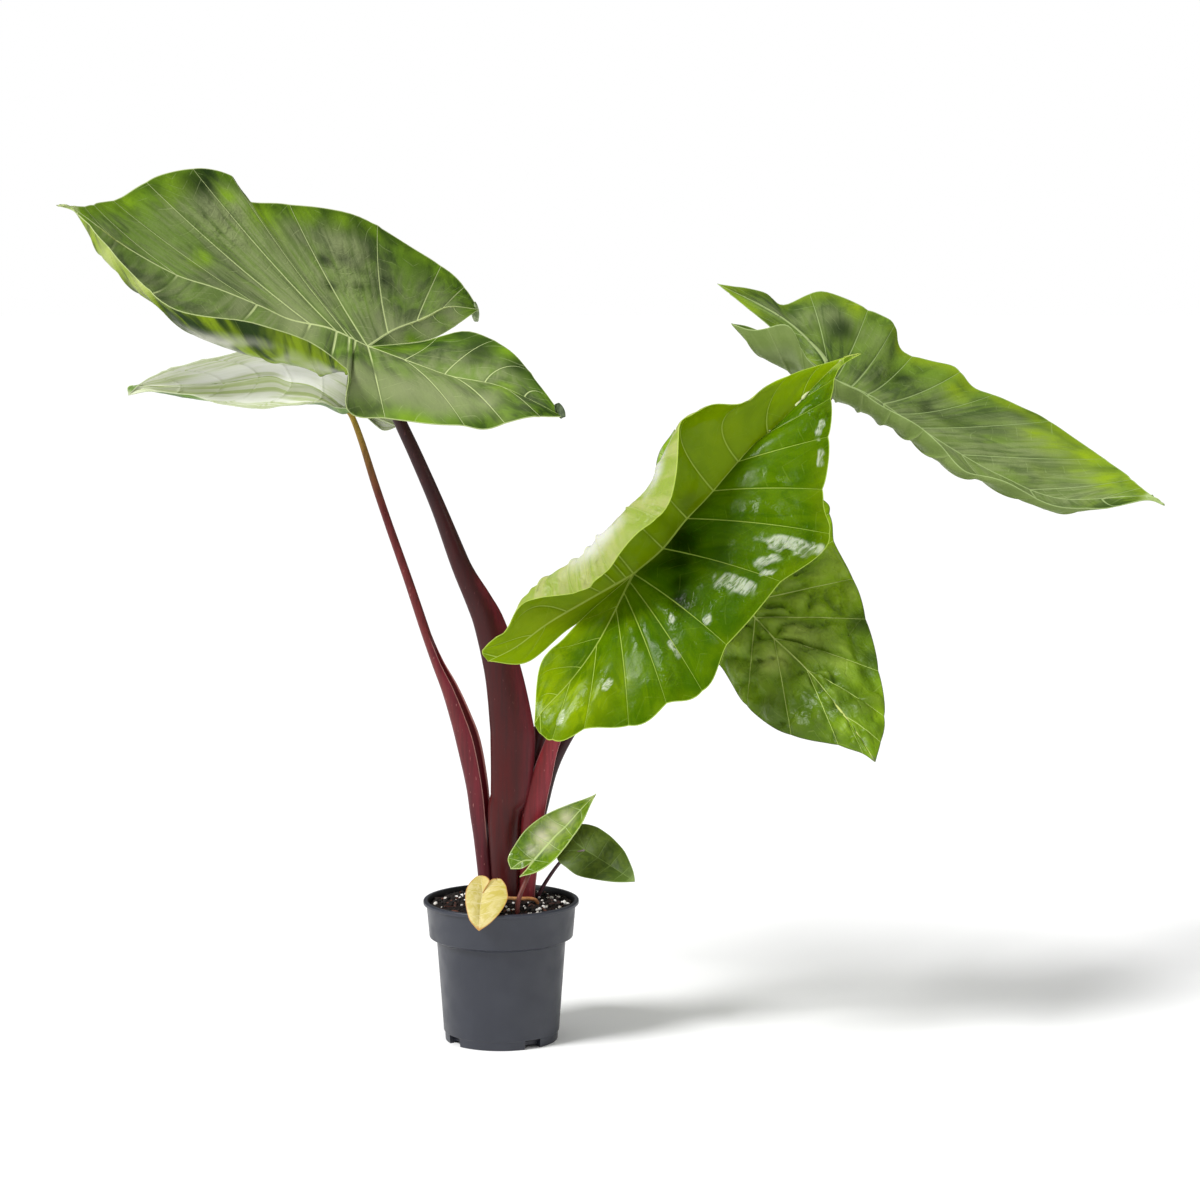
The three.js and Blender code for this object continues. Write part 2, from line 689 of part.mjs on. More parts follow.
function potSolid() {
  const { wall, floor, height, bandFoot } = pot;
  const profile = [
    [0, 0],
    [pot.hubRadius, 0],
    [pot.hubRadius + 1, floor],
    [pot.baseRadius - 8, floor],
    [pot.baseRadius - 5, 0],
    [pot.baseRadius, 0],
    [pot.bodyRadius, bandFoot - 2],
    [pot.bandRadius - 3, bandFoot + 2],
    [pot.bandRadius, height - 5],
    [pot.rimRadius, height - 4],
    [pot.rimRadius, height - 0.8],
    [pot.rimRadius - 0.8, height],
    [pot.bandRadius - wall + 0.5, height],
    [pot.bandRadius - wall - 0.3, height - 5],
    [pot.bandRadius - 3 - wall, bandFoot + 3],
    [pot.bodyRadius - wall, bandFoot - 1],
    [pot.baseRadius - wall, floor + 4],
    [pot.baseRadius - wall - 2, floor + 2.5],
    [0, floor + 2.5],
  ];
  const lathe = new THREE.LatheGeometry(
    profile.map(([r, z]) => new THREE.Vector2(r, z)),
    pot.segments,
  );
  lathe.rotateX(Math.PI / 2);
  let solid = solidOf(lathe);
  for (const angle of [35, 125, 215, 305]) {
    const notch = new THREE.BoxGeometry(pot.notchWidth, 14, pot.notchHeight * 2);
    notch.translate(0, -pot.baseRadius, 0);
    notch.rotateZ((angle * Math.PI) / 180);
    solid = solid.subtract(solidOf(notch));
  }
  for (let i = 0; i < 6; i++) {
    const drain = new THREE.CylinderGeometry(pot.drainRadius, pot.drainRadius, 20, 16);
    drain.rotateX(Math.PI / 2);
    drain.translate(pot.drainCircle, 0, floor);
    drain.rotateZ((i * Math.PI) / 3);
    solid = solid.subtract(solidOf(drain));
  }
  return solid;
}

// Soil

const moundAt = (r) => soil.wallHeight + soil.mound * (1 - (r / 80) ** 2);

function soilSolid(standing) {
  const random = seeded(soil.seed);
  const { gap, segments } = soil;
  const inside = [
    [0, pot.floor + 2.5 + gap],
    [pot.baseRadius - pot.wall - 2.4, pot.floor + 2.5 + gap],
    [pot.baseRadius - pot.wall - gap, pot.floor + 4 + gap],
    [pot.bodyRadius - pot.wall - gap, pot.bandFoot - 1],
    [pot.bandRadius - 3 - pot.wall - gap, pot.bandFoot + 3 + gap],
    [pot.bandRadius - pot.wall - 0.7 - gap, soil.wallHeight],
  ];
  const rings = [70, 57, 44, 31, 17, 0];
  const points = [];
  const faces = [];
  const rows = inside.length + rings.length;
  for (let i = 0; i < rows; i++) {
    for (let j = 0; j < segments; j++) {
      const turn = (2 * Math.PI * j) / segments;
      const top = i >= inside.length;
      const r = top ? rings[i - inside.length] : inside[i][0];
      const bump = r > 0 ? soil.roughness * (2 * random() - 1) : 0;
      const z = top ? moundAt(r) + bump : inside[i][1];
      points.push([r * Math.cos(turn), r * Math.sin(turn), z]);
    }
  }
  const at = (i, j) => i * segments + (j % segments);
  for (let i = 0; i + 1 < rows; i++) {
    for (let j = 0; j < segments; j++) {
      faces.push([at(i, j), at(i, j + 1), at(i + 1, j + 1)]);
      faces.push([at(i, j), at(i + 1, j + 1), at(i + 1, j)]);
    }
  }
  let solid = solidFrom(points, faces);
  for (let i = 0; i < soil.lumps; i++) {
    const size = 3 + 3 * random();
    const r = 72 * Math.sqrt(random());
    const turn = 2 * Math.PI * random();
    const lump = new THREE.IcosahedronGeometry(size, 0);
    lump.rotateZ(6 * random());
    lump.scale(1, 1, 0.7);
    lump.translate(r * Math.cos(turn), r * Math.sin(turn), moundAt(r) + 0.3);
    solid = solid.add(solidOf(lump));
  }
  for (const stalk of standing) solid = solid.subtract(stalkSolid(stalk, fit));
  return largest(solid);
}

// The object

place("pot", potSolid(), 0x45484c, 0.55);
place("soil", soilSolid(Object.values(stalks)), 0x2b211b, 0.95);
for (const [name, stalk] of Object.entries(stalks)) {
  const leaf = leaves[name];
  const socket = new THREE.IcosahedronGeometry(leaf.keel + bladeThickness + fit, 1);
  socket.translate(...leaf.at);
  const clear = bladeSolid(leaf, fit).add(solidOf(socket));
  place(`stalk_${name}`, largest(stalkSolid(stalk).subtract(clear)), stalk.color, 0.5);
}
for (const [name, leaf] of Object.entries(leaves)) {
  place(`blade_${name}`, bladeSolid(leaf), leaf.color, 0.35);
}

export default group;
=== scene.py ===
import math
import random
import bpy
import numpy as np
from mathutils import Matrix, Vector, noise


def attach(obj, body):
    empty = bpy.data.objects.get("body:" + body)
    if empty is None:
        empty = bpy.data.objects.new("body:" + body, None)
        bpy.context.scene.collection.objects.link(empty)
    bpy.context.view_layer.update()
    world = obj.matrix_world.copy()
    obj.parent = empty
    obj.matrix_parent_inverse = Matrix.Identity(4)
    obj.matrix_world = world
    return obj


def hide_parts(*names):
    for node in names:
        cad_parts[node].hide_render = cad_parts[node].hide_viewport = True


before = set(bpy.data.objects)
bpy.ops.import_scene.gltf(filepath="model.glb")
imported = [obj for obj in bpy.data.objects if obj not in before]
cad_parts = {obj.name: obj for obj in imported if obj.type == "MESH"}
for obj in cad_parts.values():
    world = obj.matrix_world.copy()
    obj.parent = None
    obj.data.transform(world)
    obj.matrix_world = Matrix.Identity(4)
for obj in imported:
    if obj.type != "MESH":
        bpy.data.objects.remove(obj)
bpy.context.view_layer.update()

print("frame loaded:", len(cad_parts), "nodes")

mm = 0.001


def tone(red, green, blue):  # a colour as a paint chart gives it, 0 to 255
    linear = [((v / 255 + 0.055) / 1.055) ** 2.4 if v > 10 else v / 3295 for v in (red, green, blue)]
    return (*linear, 1.0)


# Camera, lights and floor

view = {
    "place": (0.108, -3.97, 1.0), "pitch": 82.6, "lens": 111.06, "sensor": 36, "farthest": 100,
    "floorSize": 30.0, "floorTone": tone(254, 254, 254), "floorRoughness": 0.9, "floorShine": 0.1,
    "backdrop": 1.0, "skyStrength": 0.42, "roomShine": 0.22,
    "sunFrom": (-0.64, -0.44, 0.77), "sunStrength": 3.05, "sunAngle": 20,
    "lamps": [  # name, place, aim, size and power
        ("keyLight", (-2.2, -2.0, 2.6), (0, 0, 0.45), 1.3, 11),
        ("topLight", (0.5, -0.2, 2.5), (0.1, 0, 0.5), 1.6, 5),
        ("sideLight", (2.3, -1.2, 1.3), (0.2, 0, 0.5), 0.9, 6),
        ("gleamLight", (0.4, -1.72, 2.14), (0.28, -0.08, 0.54), 0.3, 4),
    ],
}


def addLamp(kind, name, place, aim, power):
    bpy.ops.object.light_add(type=kind, location=place)
    lamp = bpy.context.object
    lamp.name = name
    lamp.rotation_euler = (Vector(aim) - Vector(place)).to_track_quat("-Z", "Y").to_euler()
    lamp.data.energy = power
    return lamp.data


def setStudio():
    bpy.ops.object.camera_add(location=view["place"], rotation=(math.radians(view["pitch"]), 0, 0))
    camera = bpy.context.object
    camera.name = "photoCamera"
    camera.data.lens = view["lens"]
    camera.data.sensor_width = view["sensor"]
    camera.data.clip_end = view["farthest"]
    bpy.context.scene.camera = camera

    bpy.ops.mesh.primitive_plane_add(size=view["floorSize"], location=(0, 0, 0))
    floor = bpy.context.object
    floor.name = "floor"
    floor.data.materials.append(Paint("pale floor").finish(
        Base_Color=view["floorTone"], Roughness=view["floorRoughness"], Specular_IOR_Level=view["floorShine"]))

    sky = bpy.data.worlds.new("soft white")
    sky.use_nodes = True
    tree = sky.node_tree
    rays = tree.nodes.new("ShaderNodeLightPath").outputs
    level = view["skyStrength"]
    for ray, strength in (("Is Glossy Ray", view["roomShine"]), ("Is Camera Ray", view["backdrop"])):
        pick = tree.nodes.new("ShaderNodeMix")
        for socket, value in ((0, rays[ray]), (2, level), (3, strength)):
            feed(tree, pick.inputs[socket], value)
        level = pick.outputs[0]
    tree.nodes["Background"].inputs[0].default_value = (1, 1, 1, 1)
    feed(tree, tree.nodes["Background"].inputs[1], level)
    bpy.context.scene.world = sky
    bpy.context.scene.view_settings.view_transform = "Standard"

    sun = addLamp("SUN", "sun", view["sunFrom"], (0, 0, 0), view["sunStrength"])
    sun.angle = math.radians(view["sunAngle"])
    for name, place, aim, size, power in view["lamps"]:
        addLamp("AREA", name, place, aim, power).size = size


# Tools for modelling

def startPiece():  # nothing selected, so that an operator acts on the new piece alone
    if bpy.context.object and bpy.context.object.mode != "OBJECT":
        bpy.ops.object.mode_set(mode="OBJECT")
    bpy.ops.object.select_all(action="DESELECT")


def selectOnly(*pieces):
    startPiece()
    for piece in pieces:
        piece.select_set(True)
    bpy.context.view_layer.objects.active = pieces[0]


def vectorsOf(items, name):
    flat = np.empty(len(items) * 3)
    items.foreach_get(name, flat)
    return flat.reshape(-1, 3)


def pointsOf(piece):
    return vectorsOf(piece.data.vertices, "co")


def normalsOf(piece):
    return vectorsOf(piece.data.vertex_normals, "vector")


def setPoints(piece, points):
    piece.data.vertices.foreach_set("co", np.asarray(points, dtype=float).ravel())
    piece.data.update()


def setField(piece, name, values):  # one number for each vertex, which a material can read
    layer = piece.data.attributes.get(name) or piece.data.attributes.new(name, "FLOAT", "POINT")
    layer.data.foreach_set("value", np.asarray(values, dtype=float).ravel())


def fieldOf(piece, name):
    values = np.empty(len(piece.data.vertices))
    piece.data.attributes[name].data.foreach_get("value", values)
    return values


def applyAll(piece):
    selectOnly(piece)
    for modifier in list(piece.modifiers):
        bpy.ops.object.modifier_apply(modifier=modifier.name)


def thicken(piece, thickness):  # inwards, so that the face that was there stays
    selectOnly(piece)
    bpy.ops.object.modifier_add(type="SOLIDIFY")
    shell = piece.modifiers[-1]
    shell.thickness = thickness * mm
    shell.offset = -1
    applyAll(piece)


def editWhole(piece, *steps):  # runs each step in edit mode with everything selected
    selectOnly(piece)
    bpy.ops.object.mode_set(mode="EDIT")
    for step in steps:
        bpy.ops.mesh.select_all(action="SELECT")
        step()
    bpy.ops.object.mode_set(mode="OBJECT")


def smoothLook(piece, angle=None):
    selectOnly(piece)
    if angle is None:
        bpy.ops.object.shade_smooth()
    else:
        bpy.ops.object.shade_smooth_by_angle(angle=math.radians(angle))


def finishPiece(piece, node, slot, material):
    piece.data.materials.clear()
    piece.data.materials.append(material)
    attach(piece, "root")
    if node:
        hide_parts(node)
    print("made", piece.name, len(piece.data.polygons), "faces")


def addBall(name, sides, rings):  # a sphere, with each point's ring and turn
    startPiece()
    bpy.ops.mesh.primitive_uv_sphere_add(segments=sides, ring_count=rings)
    piece = bpy.context.object
    piece.name = name
    ball = pointsOf(piece)
    ring = np.rint(np.arccos(np.clip(ball[:, 2], -1, 1)) / math.pi * rings)
    return piece, ring, np.arctan2(ball[:, 1], ball[:, 0])


def noiseAt(points, scale, seed=0.0):  # smooth noise from -1 to 1 at each point
    shift = Vector((seed * 7.1, seed * 3.3, seed * 5.7))
    return np.array([noise.noise(Vector(p) * scale + shift) for p in points]) * 1.6


def smoothCurve(points, t):  # the smooth curve through evenly spaced points, t from 0 to 1
    points = np.asarray(points, dtype=float)
    spans = len(points) - 1
    place = np.clip(np.asarray(t, dtype=float), 0, 1) * spans
    i = np.minimum(np.floor(place).astype(int), spans - 1)
    u = (place - i)[:, None]
    longer = np.vstack([2 * points[0] - points[1], points, 2 * points[-1] - points[-2]])
    before, start, end, after = (longer[i + n] for n in range(4))
    startSlope = (end - before) / 2
    endSlope = (after - start) / 2
    rise = end - start
    return start + u * (startSlope + u * (3 * rise - 2 * startSlope - endSlope
                                          + u * (startSlope + endSlope - 2 * rise)))


def alongCurve(points):  # the same curve, by the fraction of its length
    samples = smoothCurve(points, np.linspace(0, 1, 161))
    steps = np.linalg.norm(np.diff(samples, axis=0), axis=1)
    lengths = np.concatenate([[0], np.cumsum(steps)])

    def pointAt(fraction):
        goal = np.asarray(fraction) * lengths[-1]
        return np.stack([np.interp(goal, lengths, samples[:, n]) for n in range(3)], axis=1)

    return pointAt


# Tools for materials

def feed(tree, socket, value):  # a link from another socket, or a plain value
    if isinstance(value, bpy.types.NodeSocket):
        tree.links.new(value, socket)
    else:
        socket.default_value = value


class Paint:  # builds one node material, socket by socket
    def __init__(self, name):
        self.material = bpy.data.materials.new(name)
        self.material.use_nodes = True
        self.tree = self.material.node_tree
        self.shader = self.tree.nodes["Principled BSDF"]

    def node(self, kind, output=0, inputs=None, **settings):
        node = self.tree.nodes.new(kind)
        for key, value in settings.items():
            setattr(node, key, value)
        for key, value in (inputs or {}).items():
            feed(self.tree, node.inputs[key], value)
        return node.outputs[output]

    def math(self, operation, a, b=0.0, clamp=False):
        return self.node("ShaderNodeMath", inputs={0: a, 1: b}, operation=operation, use_clamp=clamp)

    def times(self, a, b):
        return self.math("MULTIPLY", a, b)

    def most(self, a, b, clamp=False):
        return self.math("MAXIMUM", a, b, clamp)

    def field(self, name):
        return self.node("ShaderNodeAttribute", "Fac", attribute_name=name)

    def uv(self):
        return self.node("ShaderNodeUVMap", "UV", uv_map="UVMap")

    def spot(self):
        return self.node("ShaderNodeTexCoord", "Object")

    def stretch(self, vector, scale, shift=(0, 0, 0)):
        return self.node("ShaderNodeMapping", inputs={"Vector": vector, "Scale": scale, "Location": shift})

    def noise(self, vector, scale, detail=2.0, roughness=0.5, distortion=0.0):
        return self.node("ShaderNodeTexNoise", "Fac", inputs={
            "Vector": vector, "Scale": scale, "Detail": detail,
            "Roughness": roughness, "Distortion": distortion})

    def ramp(self, value, low, high, start=0.0, end=1.0):  # low..high becomes start..end, eased
        return self.node("ShaderNodeMapRange", inputs={
            0: value, 1: low, 2: high, 3: start, 4: end}, interpolation_type="SMOOTHSTEP")

    def mottle(self, vector, scale, detail, low, high, start=0.0, end=1.0):
        return self.ramp(self.noise(vector, scale, detail), low, high, start, end)

    def blend(self, factor, a, b):
        node = self.tree.nodes.new("ShaderNodeMix")
        node.data_type = "RGBA"
        for socket, value in ((0, factor), (6, a), (7, b)):
            feed(self.tree, node.inputs[socket], value)
        return node.outputs[2]

    def bump(self, height, strength, distance, normal=None):
        inputs = {"Height": height, "Strength": strength, "Distance": distance}
        if normal:
            inputs["Normal"] = normal
        return self.node("ShaderNodeBump", inputs=inputs)

    def finish(self, **sockets):
        for name, value in sockets.items():
            feed(self.tree, self.shader.inputs[name.replace("_", " ")], value)
        return self.material


# Leaves. Lengths are in mm from the end of the leaf's stalk.
# A vein is its place on the midrib, then its end on the margin and its bow, left and right.
# A spot is a place and a radius.

leaves = {
"leftHigh": {
    "keel": 5, "quilt": 3, "ripple": 2, "lean": [0.5, 0.4], "scallop": 1.5, "veinWidth": 1.25,
    "shade": [[-176, 9, 173, 17], [-186, 12, 178, 12], [-42, 47, 62, 9], [-52, 65, 91, 8], [-31, 81, 90, 8],
        [-13, 68, 61, 8], [13, 103, 67, 10], [120, -10, 5, 26], [164, -24, -16, 20]],
    "glow": [[-202, -8, 173, 17], [-249, -49, 156, 13], [-115, 52, 137, 20], [-168, -33, 98, 9], [-184, -42, 84, 9],
        [-34, 111, 132, 16], [-150, 20, 160, 10], [-80, 90, 140, 14], [150, -60, -40, 12]],
    "mist": [[-8, -92, -27, 42], [39, -91, -37, 34], [-70, -30, 22, 30], [28, 45, 6, 18], [62, 95, 14, 24],
        [90, 145, 25, 22], [90, -88, -50, 26], [130, -80, -56, 18]],
    "folds": [[-25, 75, 76, 46], [-150, 0, 130, 34], [-160, -160, 60, 60]],
    "plain": [[-50, -45, 22, 26], [-95, -65, 38, 30], [-140, -85, 55, 32], [-190, -105, 80, 32],
        [-240, -122, 110, 30], [-20, -62, -8, 38], [-48, -62, 8, 32], [-30, -90, -20, 34]],
    "flap": [[0, -115, -40, 40], [-30, -140, 0, 42], [-80, -155, 25, 44], [-130, -165, 40, 44], [-185, -165, 60, 44],
        [-235, -150, 90, 40], [-265, -135, 125, 32]],
    "paleUnder": [[-264, -125, 130, 18], [-250, -150, 104, 20], [-222, -170, 76, 18]],
    "midrib": [[-40, -10, 20], [-80, -25, 30], [-110, -40, 45], [-155, -60, 65], [-195, -80, 80], [-245, -100, 110],
        [-295, -125, 150], [-312, -131, 154]],
    "leftRib": [[45, -20, -15], [90, -30, -30], [145, -50, -40], [210, -66, -70]],
    "rightRib": [[25, 50, 15], [55, 100, 25], [80, 150, 35], [113, 196, 30]],
    "leftSinus": [[55, 10, 5], [110, 15, 15], [160, -15, -10]], "rightSinus": [[30, 45, 0], [70, 100, 5]],
    "veins": [
        (-0.7, 170, -85, -70, 0, -5, 6, 88, 186, 66, 0, 5, -4),
        (-0.45, 130, -100, -80, 0, -8, 10, 55, 172, 90, 0, 8, -6),
        (-0.2, 95, -110, -75, 0, -10, 10, -15, 130, 135, 0, 8, -8),
        (0, 25, -120, -68, 0, -15, 8, -90, 80, 150, 0, 10, -8),
        (0.04, -14, -130, -58, 0, -22, 0, -135, 45, 155, 0, 10, -8),
        (0.06, -12, -140, -18, 0, -22, -14, -147, 36, 181, 0, 10, -8),
        (0.1, -45, -156, 12, 0, -20, -38, -182, 14, 190, 0, 10, -8),
        (0.18, -105, -172, 35, 0, -24, -40, -225, -20, 180, 0, 10, -8),
        (0.35, -185, -180, 50, 0, -24, -36, -255, -50, 160, 0, 8, -6),
        (0.6, -240, -165, 95, 0, -16, -30, -275, -85, 155, 0, 6, -4),
        (0.8, -270, -148, 128, 0, -10, -24, -285, -105, 152, 0, 2, -2),
        (0.95, -293, -128, 147, 0, 0, 0, -293, -124, 153, 0, 0, 0),
    ],
},
"leftLow": {
    "keel": 0.6, "quilt": 1.2, "ripple": 2.5, "lean": [1.2, 1.4], "scallop": 2, "ribWidth": 1.0, "veinWidth": 0.7,
    "midrib": [[-35, 30, 20], [-65, 50, 25], [-90, 65, 30], [-145, 95, 20], [-210, 115, 15], [-250, 130, 15],
        [-253, 131, 4]],
    "leftRib": [[40, -12, 16], [80, -25, 25]], "rightRib": [[30, -32, -5], [62, -60, -15]],
    "leftSinus": [[25, -12, 2], [55, -27, 8]], "rightSinus": [[22, -16, 2], [52, -42, -3]],
    "veins": [
        (-0.5, 75, -25, 45, 0, 4, 0, 44, -47, -20, 0, 4, 0), (-0.25, 55, -20, 55, 0, 8, 0, 16, -32, 0, 0, 8, -2),
        (0, 30, -10, 65, 0, 10, 2, -8, -12, 2, 0, 14, -8), (0.12, -20, 0, 70, 0, 15, 5, -30, 5, 6, 0, 22, -8),
        (0.27, -65, 12, 70, 0, 15, 5, -65, 25, 1, 0, 25, -9), (0.42, -110, 35, 62, 0, 15, 5, -100, 45, -3, 0, 25, -9),
        (0.58, -155, 62, 50, 0, 12, 4, -140, 68, 0, 0, 20, -8), (0.75, -200, 92, 36, 0, 8, 2, -180, 88, 8, 0, 12, -8),
        (0.9, -232, 118, 22, 0, 2, 0, -225, 115, 10, 0, 4, -2),
    ],
},
"front": {
    "keel": 5, "quilt": 3, "ripple": 3, "lean": [1.2, 0.3], "scallop": 3.5,
    "shade": [[52, 2, 35, 26], [49, -14, 12, 22], [49, -31, -4, 13], [58, 15, 77, 14], [48, -40, -22, 12]],
    "sweep": 1.0, "foldDepth": 5, "cells": 0.4,
    "gleam": [[38.62, 0.11, 0.8, 0.22], [38.25, 0.14, 0.76, 0.05], [38.05, 0.07, 0.86, 0.03],
        [37.72, 0.12, 0.72, 0.15], [36.55, 0.14, 0.48, 0.03], [35.9, 0.1, 0.62, 0.06], [37.1, 0.08, 0.74, 0.03],
        [41.25, 0.2, 0.86, 0.04], [40.6, 0.2, 0.9, 0.03], [32.1, 0.12, 0.62, 0.12], [33.5, 0.14, 0.58, 0.04]],
    "plain": [[6, -6, 28, 22], [33, 3, 56, 24], [58, 0, 90, 24], [-33, -11, -26, 16]],
    "glow": [[-79, -15, -50, 22], [-45, -30, -10, 32], [-108, -24, -45, 36], [90, 0, 150, 26], [20, -70, 45, 26],
        [-60, -74, -130, 44], [-88, -70, -120, 44]],
    "folds": [[105, -40, -4, 26], [157, -24, 28, 36], [46, -55, -44, 14], [35, -71, -73, 14], [32, -85, -98, 12],
        [197, 48, 170, 14], [125, -45, -20, 20], [20, -80, 75, 40], [-40, -66, 5, 34], [-100, -42, -20, 28]],
    "midrib": [[30, 8, 25], [55, 18, 55], [80, 28, 80], [125, 44, 130], [155, 55, 155], [220, 70, 220],
        [245, 71, 230]],
    "leftRib": [[-45, -5, -25], [-90, -15, -50], [-125, -22, -75], [-155, -26, -90]],
    "rightRib": [[-35, -32, -65], [-65, -55, -105], [-95, -70, -135], [-105, -74, -150]],
    "leftSinus": [[-40, -10, -37], [-73, -15, -60], [-114, -22, -92]],
    "rightSinus": [[-46, -15, -37], [-73, -30, -63], [-99, -45, -91]],
    "veins": [
        (-0.94, -160, -28, -77, 0, 0, 0, -97, -80, -160, 0, 0, 0),
        (-0.7, -135, -30, -55, -4, 0, 4, -80, -88, -165, 0, -4, 2),
        (-0.45, -115, -38, -25, -12, 0, 18, -40, -90, -150, 0, -8, 4),
        (-0.22, -76, -48, -17, -27, 0, 25, 2, -95, -148, 0, -10, 5),
        (-0.12, -59, -56, -12, -20, 0, 33, 38, -94, -124, 0, -10, 5),
        (-0.05, -46, -63, -5, -20, 0, 38, 73, -86, -113, 0, -10, 5),
        (0, -28, -72, 14, -24, 0, 38, 98, -68, -68, 0, -10, 5),
        (0.12, 5, -85, 55, -32, 0, 26, 150, -40, -10, 0, -10, 5),
        (0.24, 40, -80, 90, -35, 0, 22, 206, -14, 35, 0, -10, 5),
        (0.36, 45, -60, 145, -29, 0, 14, 201, 6, 75, 0, -10, 5),
        (0.48, 60, -25, 175, -22, 0, 8, 208, 32, 128, 0, -8, 4),
        (0.61, 110, 25, 180, -8, 0, 8, 212, 50, 175, 0, -6, 2), (0.76, 160, 58, 205, 0, 0, 4, 215, 62, 200, 0, -3, 0),
        (0.94, 218, 71, 223, 0, 0, 0, 224, 69, 217, 0, 0, 0),
    ],
},
"hanging": {
    "keel": 1, "quilt": 2.2, "ripple": 1.5, "lean": [0.3, 0.3], "scallop": 2, "cells": 1.2, "pucker": 1.6,
    "puckerScale": 62, "sweep": 1.0, "foldScale": 33, "foldDepth": 14, "folds": [[60, -20, 0, 190]],
    "mist": [[26, -50, -42, 15], [51, -36, -13, 15], [65, -46, -21, 11], [95, -70, -39, 13]],
    "shade": [[128, -50, -40, 16], [132, -80, -66, 14], [122, -20, -8, 16], [114, -46, -28, 14], [120, -64, -48, 14],
        [71, -64, -117, 64], [42, -85, -113, 10], [86, -74, -64, 9], [88, -112, -116, 9], [117, -131, -77, 34]],
    "midrib": [[25, -25, -25], [60, -65, -55], [95, -108, -95], [126, -152, -138]],
    "leftRib": [[20, 60, 70], [40, 110, 135]], "rightRib": [[-35, 60, 70], [-80, 100, 190]],
    "leftSinus": [[5, 30, 30], [20, 75, 90]], "rightSinus": [[-10, 30, 32], [-50, 80, 110]],
    "veins": [
        (-0.7, 85, 100, 110, 0, -4, 2, -100, 90, 150, 0, -6, 4), (-0.45, 92, 80, 92, 0, -5, 2, -90, 50, 50, 0, -8, 4),
        (-0.2, 96, 52, 66, 0, -6, 2, -50, 10, -40, 0, -8, 6), (-0.08, 115, 25, 30, 0, -6, 2, -30, -10, -60, 0, -8, 6),
        (0.04, 125, -10, -5, 0, -6, 2, -5, -40, -95, 0, -8, 5),
        (0.18, 135, -50, -50, 0, -5, 2, 35, -75, -120, 0, -7, 5),
        (0.42, 140, -90, -90, 0, -3, 2, 80, -110, -125, 0, -4, 3),
        (0.72, 135, -122, -116, 0, -2, 2, 110, -137, -130, 0, -2, 2),
    ],
},
"right": {
    "keel": 5, "quilt": 3, "ripple": 2, "lean": [0.7, 0.7], "scallop": 1.5, "veinWidth": 1.0,
    "shade": [[81, 71, -3, 18], [70, 60, 5, 14], [14, 100, 51, 22], [-20, 90, 60, 14], [120, 20, -30, 16]],
    "glow": [[276, -11, -85, 26], [250, 8, -70, 20], [225, 20, -60, 14], [300, -45, -108, 20], [33, 139, 78, 14],
        [140, 80, -20, 14]],
    "folds": [[75, 65, 0, 30], [190, -60, -95, 30]],
    "midrib": [[25, -6, -10], [45, -12, -20], [82, -22, -45], [132, -35, -76], [178, -47, -101], [245, -60, -126],
        [336, -80, -121], [356, -84, -131]],
    "leftRib": [[-15, 40, 30], [-56, 75, 66], [-127, 100, 102]],
    "rightRib": [[-40, -20, 10], [-80, -40, 35], [-117, -60, 66]],
    "leftSinus": [[-20, 35, 10], [-70, 70, 56], [-107, 90, 86]],
    "rightSinus": [[-25, -5, 20], [-60, -15, 45], [-97, -35, 61]],
    "veins": [
        (-0.6, -76, 120, 92, 0, 2, -4, -92, -75, 60, 0, -12, -15),
        (-0.35, -51, 130, 77, 0, 4, -6, -56, -85, 65, 0, -18, -20),
        (-0.15, -5, 140, 92, 0, 6, -8, -36, -90, 30, 0, -20, -22),
        (0, 46, 140, 70, 0, 6, -8, -5, -95, 8, 0, -22, -22), (0.05, 74, 136, 56, 0, 6, -8, 22, -97, -5, 0, -22, -22),
        (0.1, 87, 124, 22, 0, 6, -8, 48, -100, -22, 0, -22, -22),
        (0.15, 139, 108, 9, 0, 6, -8, 82, -102, -40, 0, -22, -22),
        (0.2, 167, 92, -16, 0, 6, -8, 108, -106, -62, 0, -22, -20),
        (0.27, 216, 70, -34, 0, 6, -6, 135, -110, -90, 0, -20, -18),
        (0.41, 270, 20, -66, 0, 4, -4, 178, -115, -101, 0, -18, -16),
        (0.62, 311, -30, -95, 0, 2, -2, 229, -110, -127, 0, -12, -12),
        (0.82, 329, -62, -110, 0, 0, 0, 290, -95, -132, 0, -4, -4),
        (0.94, 339, -78, -118, 0, 0, 0, 335, -84, -125, 0, 0, 0),
    ],
},
"youngFront": {
    "keel": 2, "quilt": 0.8, "ripple": 0.4, "fine": 0.45, "ribWidth": 1.3, "veinWidth": 0.45, "pucker": 0.35,
    "puckerScale": 90, "cells": 0.3, "mist": [[8, 14, 24, 10], [22, 20, 34, 9], [-4, 4, 14, 7], [34, 28, 42, 7]],
    "midrib": [[21, 18, 21], [35, 27, 33], [52, 40, 50], [67, 52, 63]], "leftRib": [[-12, -4, 0], [-25, -8, -8]],
    "rightRib": [[-7, -8, -8], [-15, -14, -15]], "leftSinus": [[-12, -8, -7]], "rightSinus": [[-8, -10, -9]],
    "veins": [
        (-0.5, -28, -2, 3, 0, 0, 0, 3, -14, -10, 0, 0, 0), (0, -20, 6, 17, 0, 2, -2, 18, -6, -2, 0, 0, 0),
        (0.25, -8, 14, 32, 0, 2, -2, 30, 4, 9, 0, 1, -1), (0.5, 12, 26, 45, 0, 2, -2, 42, 16, 23, 0, 1, -1),
        (0.75, 36, 36, 54, 0, 1, -1, 52, 28, 36, 0, 1, -1), (0.9, 54, 44, 59, 0, 0, 0, 60, 41, 51, 0, 0, 0),
    ],
},
"youngBack": {
    "keel": 2, "quilt": 0.6, "ripple": 0.4, "fine": 0.5, "ribWidth": 0.8, "veinWidth": 0.4, "pucker": 0.3,
